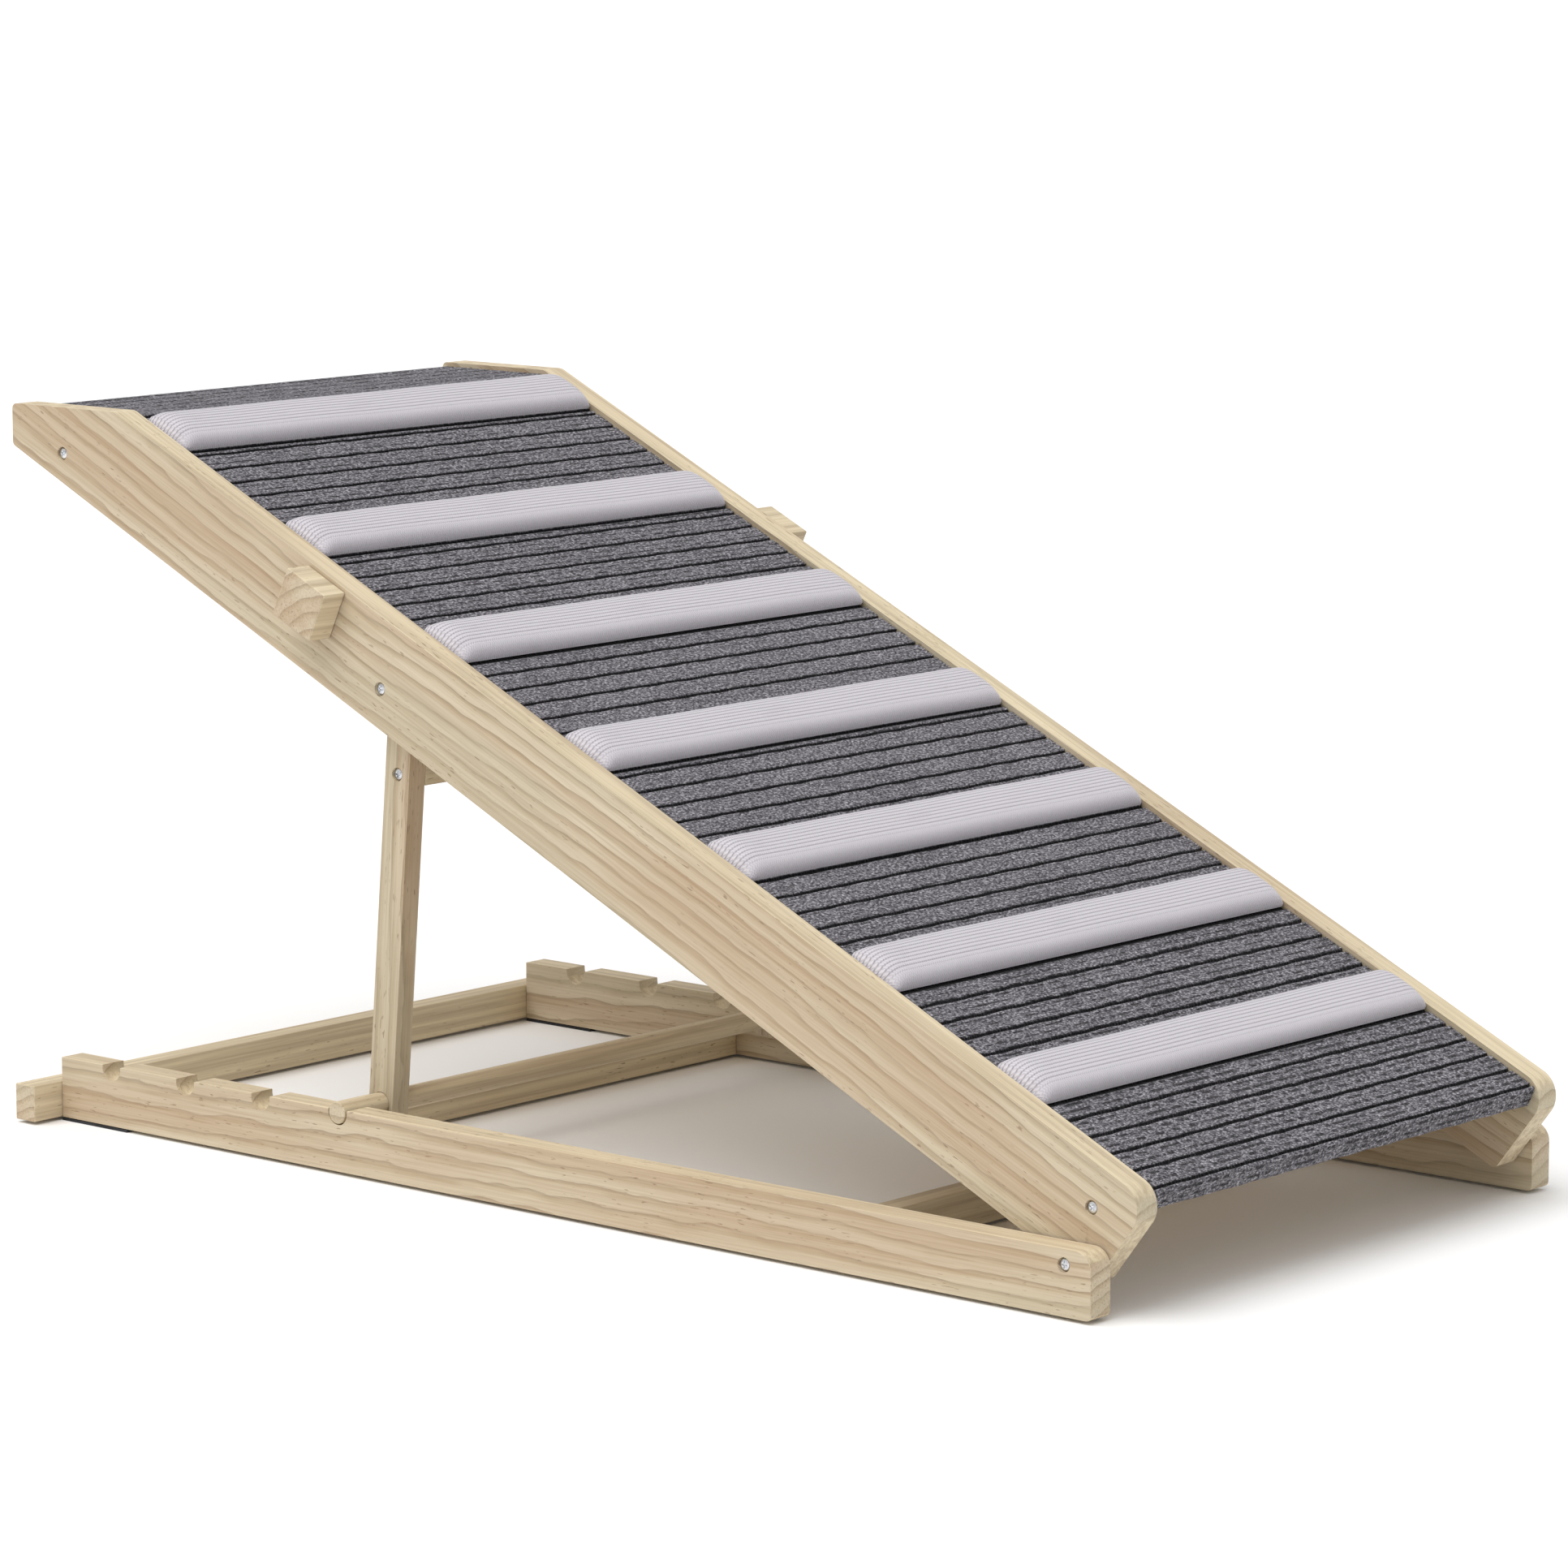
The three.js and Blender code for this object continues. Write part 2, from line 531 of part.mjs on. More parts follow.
// A bar with rounded shoulders along both sides and both ends, on a flat foot.
function dome(length, width, height, shoulder, foot) {
  const halfX = width / 2 - shoulder;
  const halfY = length / 2 - shoulder;
  const plan = new THREE.Shape();
  plan.moveTo(-halfX, -halfY);
  plan.lineTo(halfX, -halfY);
  plan.lineTo(halfX, halfY);
  plan.lineTo(-halfX, halfY);
  plan.closePath();
  const pillow = new THREE.ExtrudeGeometry(plan, {
    depth: 2 * foot,
    bevelEnabled: true,
    bevelSize: shoulder,
    bevelThickness: height - foot,
    bevelSegments: 4,
  });
  pillow.translate(0, 0, -foot);
  return cut(pillow, block(-width, width, -length, length, -2 * height, 0));
}

// Rung 1 is the highest; the pitch grows by RUNG_SPREAD from each rung to the next one up.
const RUNG_STEPS = RUNG_COUNT - 1;
const spread = (steps) => RUNG_SPREAD * steps * (steps - 1) / 2;
const RUNG_PITCH = (DECK_RUN - RUNG_LAST - RUNG_FIRST - spread(RUNG_STEPS)) / RUNG_STEPS;

function rungPlace(number) {
  const steps = RUNG_COUNT - number;
  const reach = RUNG_FIRST + steps * RUNG_PITCH + spread(steps);
  return new THREE.Vector3(-reach, 0, DECK_TOP - CARPET_DROP + FIT);
}

function rung(number) {
  const length = 2 * INSIDE;
  const gap = RUNG_SKIN + FIT;
  const place = rungPlace(number);
  const shoulder = RUNG_SHOULDER - gap / 2;
  const core = dome(length - 2 * gap, RUNG_WIDTH - 2 * gap, RUNG_HEIGHT - gap, shoulder, RUNG_LIP);
  const hollow = dome(
    length - 2 * RUNG_SKIN,
    RUNG_WIDTH - 2 * RUNG_SKIN,
    RUNG_HEIGHT - RUNG_SKIN + OVERCUT,
    RUNG_SHOULDER - RUNG_SKIN / 2,
    RUNG_LIP + OVERCUT,
  );
  hollow.translate(0, 0, -OVERCUT);
  const cover = cut(dome(length, RUNG_WIDTH, RUNG_HEIGHT, RUNG_SHOULDER, RUNG_LIP), hollow);
  const corePiece = piece(`rung_core_${number}`, core, FINISHES.foam());
  const coverPiece = piece(`rung_cover_${number}`, cover, FINISHES.rungFabric());
  corePiece.position.copy(place);
  coverPiece.position.copy(place);
  return [corePiece, coverPiece];
}

function sideBlock({ side, sign }) {
  const [low, high] = across(sign, DECK_HALF + FIT, DECK_HALF + FIT + RAIL_THICK);
  const top = BLOCK_LOW + BLOCK_HEIGHT;
  const body = block(-BLOCK_REACH - BLOCK_LENGTH, -BLOCK_REACH, low, high, BLOCK_LOW, top);
  const depth = BLOCK_SCREW + HEAD_SUNK - RAIL_THICK + FIT;
  const [holeLow, holeHigh] = across(sign, DECK_HALF, DECK_HALF + depth);
  const hole = barY(...BLOCK_SCREW_AT, HOLE_RADIUS, holeLow, holeHigh);
  return piece(`side_block_${side}`, cut(body, hole), FINISHES.pine());
}

function deck() {
  const group = new THREE.Group();
  group.position.set(HINGE.x, 0, HINGE.y);
  group.rotation.y = SLOPE;
  group.add(deckPanel(), platformPanel(), deckCarpet(), upperBatten(), lowerBatten());
  for (let number = 1; number <= RUNG_COUNT; number += 1) group.add(...rung(number));
  for (const side of SIDES) {
    group.add(deckRail(side), sideBlock(side));
    for (const { name, x, z, length } of OUTER_SCREWS) {
      group.add(crossScrew(`${name}_${side.side}`, x, z, side.sign * DECK_HALF, side.sign, length));
    }
    const blockScrew = `side_block_screw_${side.side}`;
    group.add(crossScrew(blockScrew, ...BLOCK_SCREW_AT, side.sign * DECK_INNER, -side.sign, BLOCK_SCREW));
  }
  group.add(legFrame());
  return group;
}

// ---------------------------------------------------------------- leg frame
// Its own frame: origin on the leg pivot, the dowel straight below.
const LEG_INNER = LEG_HALF - LEG_THICK;

function legShape() {
  const half = LEG_WIDTH / 2;
  const crown = half - FIT / 2;
  return outline([
    [-half, -LEG_REACH - LEG_TAIL, LEG_HEEL_RADIUS],
    [half, -LEG_REACH - LEG_TAIL, LEG_HEEL_RADIUS],
    [half, half, crown],
    [-half, half, crown],
  ]);
}

function leg({ side, sign }) {
  const [low, high] = across(sign, LEG_INNER, LEG_HALF);
  const pivotHole = across(sign, LEG_INNER + TIP_COVER - TIP_ROOM, LEG_HALF + OVERCUT);
  const cuts = [
    barY(0, 0, HOLE_RADIUS, ...pivotHole),
    barY(0, -LEG_REACH, DOWEL_RADIUS + FIT, low - OVERCUT, high + OVERCUT, 2 * ROUND_STEPS),
    ...screwCuts(0, -LEG_BAR_DROP, sign * LEG_HALF, sign, LEG_THICK),
  ];
  return piece(`leg_${side}`, cut(slab(legShape(), low, high), ...cuts), FINISHES.pine());
}

function legCrossbar() {
  const half = LEG_INNER - FIT;
  const bar = block(
    -LEG_WIDTH / 2,
    LEG_WIDTH / 2,
    -half,
    half,
    -LEG_BAR_DROP - LEG_THICK / 2,
    -LEG_BAR_DROP + LEG_THICK / 2,
  );
  const holes = SIDES.map(({ sign }) => {
    const [low, high] = across(sign, LEG_HALF - LEG_SCREW - HEAD_SUNK - FIT, LEG_INNER + OVERCUT);
    return barY(0, -LEG_BAR_DROP, HOLE_RADIUS, low, high);
  });
  return piece('leg_crossbar', cut(bar, ...holes), FINISHES.pine());
}

function legFrame() {
  const group = new THREE.Group();
  group.position.set(-PIVOT_REACH, 0, PIVOT_RISE);
  group.rotation.y = LEAN - SLOPE;
  group.add(legCrossbar());
  group.add(piece(
    'leg_dowel',
    barY(0, -LEG_REACH, DOWEL_RADIUS, -BASE_HALF, BASE_HALF, 2 * ROUND_STEPS),
    FINISHES.pine(),
  ));
  for (const side of SIDES) {
    const name = `leg_bar_screw_${side.side}`;
    group.add(leg(side));
    group.add(crossScrew(name, 0, -LEG_BAR_DROP, side.sign * LEG_HALF, side.sign, LEG_SCREW));
  }
  return group;
}

// ---------------------------------------------------------------- whole ramp
const ramp = new THREE.Group();
ramp.add(baseFrame(), deck());
ramp.updateMatrixWorld(true);
const extent = new THREE.Box3().setFromObject(ramp, true);
ramp.position.set(-(extent.min.x + extent.max.x) / 2, 0, -extent.min.z);

export default ramp;
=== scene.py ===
"""The looks of a folding pet ramp: pine frame, ribbed carpet, padded rungs and zinc screws.

Lengths are metres in the part's own frame: +X toward the low front end, +Y to the right-hand
rail and +Z up.
"""

import json
import logging
import math
import random
from bisect import bisect_left
from dataclasses import dataclass, field
from enum import Enum
from typing import Iterable, Sequence

import bmesh
import bpy
from mathutils import Euler, Matrix, Vector


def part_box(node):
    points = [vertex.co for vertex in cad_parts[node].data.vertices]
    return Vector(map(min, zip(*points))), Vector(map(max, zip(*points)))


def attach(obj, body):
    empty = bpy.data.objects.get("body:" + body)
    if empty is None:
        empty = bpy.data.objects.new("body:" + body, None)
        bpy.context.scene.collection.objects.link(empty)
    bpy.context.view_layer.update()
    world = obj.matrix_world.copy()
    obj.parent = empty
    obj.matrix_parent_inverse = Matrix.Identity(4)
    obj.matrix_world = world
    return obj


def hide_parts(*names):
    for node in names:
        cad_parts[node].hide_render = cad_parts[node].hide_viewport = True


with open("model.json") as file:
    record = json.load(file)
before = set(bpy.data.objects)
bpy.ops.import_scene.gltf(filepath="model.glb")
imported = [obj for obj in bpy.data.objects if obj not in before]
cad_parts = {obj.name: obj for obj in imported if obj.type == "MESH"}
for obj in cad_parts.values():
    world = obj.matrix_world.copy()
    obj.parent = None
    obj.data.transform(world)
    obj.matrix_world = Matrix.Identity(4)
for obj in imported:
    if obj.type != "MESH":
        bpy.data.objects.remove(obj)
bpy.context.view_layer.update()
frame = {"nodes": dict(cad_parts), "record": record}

LOG = logging.getLogger("ramp")
MM = 0.001
SIDES = ("left", "right")
TOUCH = 0.05 * MM           # what still counts as lying on a face
MERGE = 0.002 * MM          # CAD vertices closer than this are one
FLAT = math.radians(0.6)    # CAD faces that turn by less than this are one

Colour = tuple[float, float, float]
Axes = tuple[float, float, float]
Stop = tuple[float, Colour]


# ---------------------------------------------------------------- shader arithmetic
@dataclass(frozen=True)
class Layer:
    """A noise pattern: its cells per metre on each axis, its octaves and their roughness."""

    scale: Axes
    detail: float = 2
    rough: float = 0.5


@dataclass(frozen=True)
class Mask:
    """The value where a mask starts, the value where it is full, and its strength there."""

    start: float
    full: float
    share: float = 1.0


@dataclass(frozen=True)
class Relief:
    """The depth in metres that a bump stands for, and how strongly it shows."""

    depth: float
    strength: float


class Shade:
    """A shader socket that takes part in Python arithmetic."""

    def __init__(self, board: "Board", socket: bpy.types.NodeSocket) -> None:
        """Wraps a socket.

        Args:
            board: the material that the socket belongs to.
            socket: an output socket of one of its nodes.
        """
        self.board = board
        self.socket = socket

    def math(self, operation: str, *others: "Shade | float") -> "Shade":
        """Adds one Math node.

        Args:
            operation: the node's operation.
            others: the second operand, if it has one, as a socket or a number.

        Returns:
            The result.
        """
        operands = {0: self, **dict(enumerate(others, 1))}
        return self.board.add("ShaderNodeMath", {"operation": operation}, operands)

    def reflected(self, operation: str, first: float) -> "Shade":
        """Adds one Math node whose first operand is a number."""
        return self.board.add("ShaderNodeMath", {"operation": operation}, {0: first, 1: self})

    def __add__(self, other: "Shade | float") -> "Shade":
        """self + other."""
        return self.math("ADD", other)

    __radd__ = __add__

    def __sub__(self, other: "Shade | float") -> "Shade":
        """self - other."""
        return self.math("SUBTRACT", other)

    def __rsub__(self, other: float) -> "Shade":
        """other - self."""
        return self.reflected("SUBTRACT", other)

    def __mul__(self, other: "Shade | float") -> "Shade":
        """self * other."""
        return self.math("MULTIPLY", other)

    __rmul__ = __mul__

    def __truediv__(self, other: "Shade | float") -> "Shade":
        """self / other."""
        return self.math("DIVIDE", other)

    def fraction(self) -> "Shade":
        """The part after the decimal point."""
        return self.math("FRACT")

    def between(self, low: float, high: float) -> "Shade":
        """Rises smoothly from 0 at low to 1 at high, or falls if low is the greater.

        Args:
            low: the value that gives 0.
            high: the value that gives 1.

        Returns:
            The smooth step.
        """
        settings = {"interpolation_type": "SMOOTHSTEP"}
        if low < high:
            return self.board.add("ShaderNodeMapRange", settings, {0: self, 1: low, 2: high})
        return 1 - self.between(high, low)

    def mask(self, mask: Mask) -> "Shade":
        """The smooth step that a mask describes, times its strength."""
        step = self.between(mask.start, mask.full)
        return step if mask.share == 1 else step * mask.share

    def off_middle(self) -> "Shade":
        """The distance from 0.5, which for a fraction is 0 mid-way and 0.5 at both ends."""
        return (self - 0.5).math("ABSOLUTE")


class Board:
    """A material's node tree with one Principled shader, and the ways to add nodes to it."""

    def __init__(self, name: str) -> None:
        """Makes an empty material.

        Args:
            name: the material's name.
        """
        self.material = bpy.data.materials.new(name)
        self.material.use_nodes = True
        self.tree = self.material.node_tree
        self.shader = next(n for n in self.tree.nodes if n.type == "BSDF_PRINCIPLED")

    def node(self, kind: str, settings: dict, inputs: dict) -> bpy.types.Node:
        """Adds one node.

        Args:
            kind: the node's type.
            settings: attributes, set first; "stops" fills a colour ramp.
            inputs: values or Shades by the name or number of the input socket.

        Returns:
            The new node.
        """
        made = self.tree.nodes.new(kind)
        stops = settings.pop("stops", None)
        for key, value in settings.items():
            setattr(made, key, value)
        if stops:
            self.fill_ramp(made.color_ramp, stops)
        for key, value in inputs.items():
            if isinstance(value, Shade):
                self.tree.links.new(value.socket, made.inputs[key])
            else:
                made.inputs[key].default_value = value
        return made

    @staticmethod
    def fill_ramp(ramp: bpy.types.ColorRamp, stops: Sequence[Stop]) -> None:
        """Gives a colour ramp its stops, each a place and a colour."""
        while len(ramp.elements) < len(stops):
            ramp.elements.new(1.0)
        for element, (place, colour) in zip(ramp.elements, stops):
            element.position = place
            element.color = (*colour, 1.0)

    def add(self, kind: str, settings: dict, inputs: dict, output: int | str = 0) -> Shade:
        """Adds one node and returns one of its outputs as a Shade."""
        return Shade(self, self.node(kind, settings, inputs).outputs[output])

    def place(self, turn: Sequence[float] = (0, 0, 0), scale: Sequence[float] = (1, 1, 1),
              shift: Sequence[float] = (0, 0, 0)) -> Shade:
        """Object coordinates, turned and then stretched.

        Args:
            turn: rotation about X, Y and Z in radians.
            scale: factors along the turned axes.
            shift: moved by this much at the end.

        Returns:
            The coordinates as a vector.
        """
        plain = self.add("ShaderNodeTexCoord", {}, {}, "Object")
        turned = self.add("ShaderNodeMapping", {}, {"Vector": plain, "Rotation": turn})
        return self.add("ShaderNodeMapping", {}, {"Vector": turned, "Scale": scale, "Location": shift})

    def stretch(self, vector: Shade, scale: Sequence[float]) -> Shade:
        """The vector with each axis multiplied by its own factor."""
        return self.add("ShaderNodeMapping", {}, {"Vector": vector, "Scale": scale})

    def cloth(self, scale: Sequence[float] = (1, 1, 1)) -> Shade:
        """The piece's own cloth map, in metres across and along, times a scale."""
        plain = self.add("ShaderNodeTexCoord", {}, {}, "UV")
        return self.stretch(plain, scale)

    def axis(self, vector: Shade, name: str) -> Shade:
        """One axis of a vector."""
        return self.add("ShaderNodeSeparateXYZ", {}, {"Vector": vector}, name)

    def noise(self, vector: Shade, detail: float, rough: float) -> Shade:
        """Smooth noise, about 0 to 1 with its middle at 0.5."""
        inputs = {"Vector": vector, "Scale": 1.0, "Detail": detail, "Roughness": rough}
        return self.add("ShaderNodeTexNoise", {}, inputs)

    def layer(self, vector: Shade, layer: Layer) -> Shade:
        """A noise layer over a vector in metres."""
        return self.noise(self.stretch(vector, layer.scale), layer.detail, layer.rough)

    def cells(self, vector: Shade, spread: float, output: str = "Distance") -> Shade:
        """Voronoi cells, as the distance to a cell's middle or a colour for each cell."""
        inputs = {"Vector": vector, "Scale": 1.0, "Randomness": spread}
        return self.add("ShaderNodeTexVoronoi", {}, inputs, output)

    def ramp(self, factor: Shade, stops: Sequence[Stop]) -> Shade:
        """A colour that runs through the stops as the factor rises."""
        return self.add("ShaderNodeValToRGB", {"stops": stops}, {"Fac": factor})

    def mix(self, factor: Shade | float, first: Shade | Colour, second: Shade | Colour) -> Shade:
        """Mixes two colours.

        Args:
            factor: 0 for the first colour, 1 for the second.
            first: a colour or a Shade of one.
            second: the same.

        Returns:
            The mixed colour.
        """
        made = self.node("ShaderNodeMix", {"data_type": "RGBA"}, {0: factor})
        first_colour, second_colour, mixed = made.inputs[6], made.inputs[7], made.outputs[2]
        for socket, value in ((first_colour, first), (second_colour, second)):
            if isinstance(value, Shade):
                self.tree.links.new(value.socket, socket)
            else:
                socket.default_value = (*value, 1.0)
        return Shade(self, mixed)

    def finish(self, **sockets: Shade | float) -> None:
        """Sets sockets of the Principled shader, with underscores in the names for spaces."""
        for key, value in sockets.items():
            socket = self.shader.inputs[key.replace("_", " ")]
            if isinstance(value, Shade):
                self.tree.links.new(value.socket, socket)
            else:
                socket.default_value = value

    def raise_by(self, height: Shade, relief: Relief) -> None:
        """Bumps the surface by a height from 0 to 1, to the relief's depth and strength."""
        inputs = {"Height": height, "Distance": relief.depth, "Strength": relief.strength}
        self.finish(Normal=self.add("ShaderNodeBump", {}, inputs, "Normal"))


# ---------------------------------------------------------------- finishes
@dataclass(frozen=True)
class Pine:
    """Sanded clear pine, its grain along the turned X axis."""

    pale: Colour = (0.61, 0.515, 0.365)
    tan: Colour = (0.475, 0.37, 0.235)
    heart: Colour = (0.42, 0.27, 0.155)
    grey: Colour = (0.46, 0.405, 0.275)
    # The narrow faces' pale colour: partly their paler edge grain, partly painted light as if lit from
    # above.
    narrow_face_light: Colour = (0.80, 0.68, 0.455)
    duct: Colour = (0.20, 0.12, 0.065)
    streaks: tuple[Stop, ...] = ((0.3, (0.30, 0.22, 0.14)), (0.62, (0.76, 0.68, 0.53)))
    ring_width: float = 7.5 * MM
    ring_places: tuple[float, ...] = (0.0, 0.05, 0.5, 0.82, 1.0)
    late_line: float = 0.66                  # a ring's dark line is tan times this
    pith: tuple[float, float] = (0.014, -0.046)
    seed_shift: float = 0.37                 # metres along the grain for each seed
    sway: Layer = Layer((2.6, 14, 14), detail=1, rough=0.4)
    sway_rings: float = 3.6                  # rings that the sway moves the pattern by
    ripple: Layer = Layer((30, 60, 60))
    ripple_rings: float = 0.8
    drift: Layer = Layer((3.2, 26, 26), detail=1.5)
    heart_rings: Mask = Mask(0.4, 0.8, 0.34)
    heart_drift: Mask = Mask(0.5, 0.62, 0.36)
    grey_drift: Mask = Mask(0.5, 0.4, 0.45)
    narrow_face: Mask = Mask(0.9, 0.6)       # of how squarely the surface faces sideways
    end_face: Mask = Mask(0.84, 0.95)        # of how squarely it faces along the ramp
    # How far the narrow faces turn to that pale colour with its painted light.
    narrow_face_light_share: float = 0.72
    stripes: Layer = Layer((5, 260, 260))
    stripe_mask: Mask = Mask(0.35, 0.65, 0.8)
    fibres: Layer = Layer((14, 900, 900), detail=3, rough=0.6)
    fibre_share: float = 0.2
    ducts: Layer = Layer((150, 950, 950), detail=1)
    duct_mask: Mask = Mask(0.66, 0.73)
    clumps: Layer = Layer((9, 40, 40), detail=1)
    clump_mask: Mask = Mask(0.40, 0.58)
    duct_share: float = 0.6
    fibre_rise: float = 0.6
    ring_rise: float = 0.25
    duct_sink: float = 0.3
    relief: Relief = Relief(0.12 * MM, 0.55)
    smoothest: float = 0.56                  # roughness between the fibres
    fibre_rough: float = 0.14

    def make(self, name: str, turn: Sequence[float], centre: Vector, seed: float,
             across: bool) -> bpy.types.Material:
        """Makes the finish for one piece.

        Args:
            name: the material's name.
            turn: turns the piece's grain to X, as an Euler rotation.
            centre: the piece's middle, which its rings are laid out from.
            seed: moves the pattern along the grain, so that no two pieces are alike.
            across: whether the piece lies across the ramp, so that its ends face sideways.

        Returns:
            The material.
        """
        board = Board(name)
        away = -(Euler(turn).to_matrix() @ centre)
        base = board.place(turn, shift=(away.x + seed * self.seed_shift, away.y, away.z))
        count = self.rings(board, base)
        along = count.fraction()
        tint = board.add("ShaderNodeTexWhiteNoise", {"noise_dimensions": "1D"}, {"W": count - along})
        drift = board.layer(base, self.drift)
        colour = board.ramp(along, self.ring_stops())
        colour = board.mix(tint.mask(self.heart_rings) + drift.mask(self.heart_drift), colour, self.heart)
        colour = board.mix(drift.mask(self.grey_drift), colour, self.grey)
        # Narrow faces turn pale and striped: grain stripes, plus painted light as if from above.
        colour = board.mix(self.narrow(board, across) * self.narrow_face_light_share, colour, self.narrow_face_light_stripes(board, base))
        fibres = board.layer(base, self.fibres)
        colour = board.mix(self.fibre_share, colour, board.ramp(fibres, self.streaks))
        flecks = self.flecks(board, base)
        colour = board.mix(flecks * self.duct_share, colour, self.duct)
        height = fibres * self.fibre_rise + along * self.ring_rise - flecks * self.duct_sink
        board.raise_by(height, self.relief)
        board.finish(Base_Color=colour, Roughness=self.smoothest + self.fibre_rough * fibres,
                     Specular_IOR_Level=0.35, Coat_Weight=0.06, Coat_Roughness=0.4)
        return board.material

    def rings(self, board: Board, base: Shade) -> Shade:
        """Growth rings round a pith beside the piece, counted up: long bands, and arcs on an end."""
        sway = board.layer(base, self.sway)
        ripple = board.layer(base, self.ripple)
        aside = board.axis(base, "Y") - self.pith[0]
        above = board.axis(base, "Z") - self.pith[1]
        radius = (aside * aside + above * above).math("SQRT") / self.ring_width
        return radius + sway * self.sway_rings + ripple * self.ripple_rings

    def ring_stops(self) -> Sequence[Stop]:
        """A dark late-wood line, pale early wood that slowly darkens, and the next line."""
        line = tuple(self.late_line * c for c in self.tan)
        return tuple(zip(self.ring_places, (line, self.pale, self.pale, self.tan, line)))

    def narrow(self, board: Board, across: bool) -> Shade:
        """1 on the faces that don't face sideways, but 0 on the ends of a piece along the ramp; these get
        the pale colour with its painted light.
        """
        facing = board.add("ShaderNodeTexCoord", {}, {}, "Normal")
        edge = board.axis(facing, "Y").math("ABSOLUTE").mask(self.narrow_face)
        end = 0.0 if across else board.axis(facing, "X").math("ABSOLUTE").mask(self.end_face)
        return edge * (1 - end)

    def narrow_face_light_stripes(self, board: Board, base: Shade) -> Shade:
        """The pale striped colour of the narrow faces: grain stripes over a paleness that is partly painted
        light.
        """
        return board.mix(board.layer(base, self.stripes).mask(self.stripe_mask), self.narrow_face_light, self.tan)

    def flecks(self, board: Board, base: Shade) -> Shade:
        """Short dark resin ducts along the grain."""
        spots = board.layer(base, self.ducts)
        clumps = board.layer(base, self.clumps)
        return spots.mask(self.duct_mask) * clumps.mask(self.clump_mask)


@dataclass(frozen=True)
class Plywood:
    """Plain sanded board with a faint face veneer grain and layered edges."""

    light: Colour = (0.62, 0.49, 0.32)
    dark: Colour = (0.46, 0.33, 0.19)
    ply: float = 1.6 * MM
    veneer: Layer = Layer((55, 3.5, 1), detail=4, rough=0.55)
    veneer_mask: Mask = Mask(0.35, 0.7)
    edge_mask: Mask = Mask(0.45, 0.55, 0.35)
    fibres: Layer = Layer((900, 16, 900))
    relief: Relief = Relief(0.1 * MM, 0.4)
    smoothest: float = 0.62
    fibre_rough: float = 0.16

    def make(self, name: str, turn: Sequence[float]) -> bpy.types.Material:
        """Makes the finish; the veneer's grain runs across the ramp."""
        board = Board(name)
        base = board.place(turn)
        veneer = board.layer(base, self.veneer)
        plies = (board.axis(base, "Z") / (2 * self.ply)).fraction().mask(self.edge_mask)
        colour = board.mix(veneer.mask(self.veneer_mask), self.light, self.dark)
        colour = board.mix(plies, colour, self.dark)
        fibres = board.layer(base, self.fibres)
        board.raise_by(fibres, self.relief)
        board.finish(Base_Color=colour, Roughness=self.smoothest + self.fibre_rough * fibres)
        return board.material


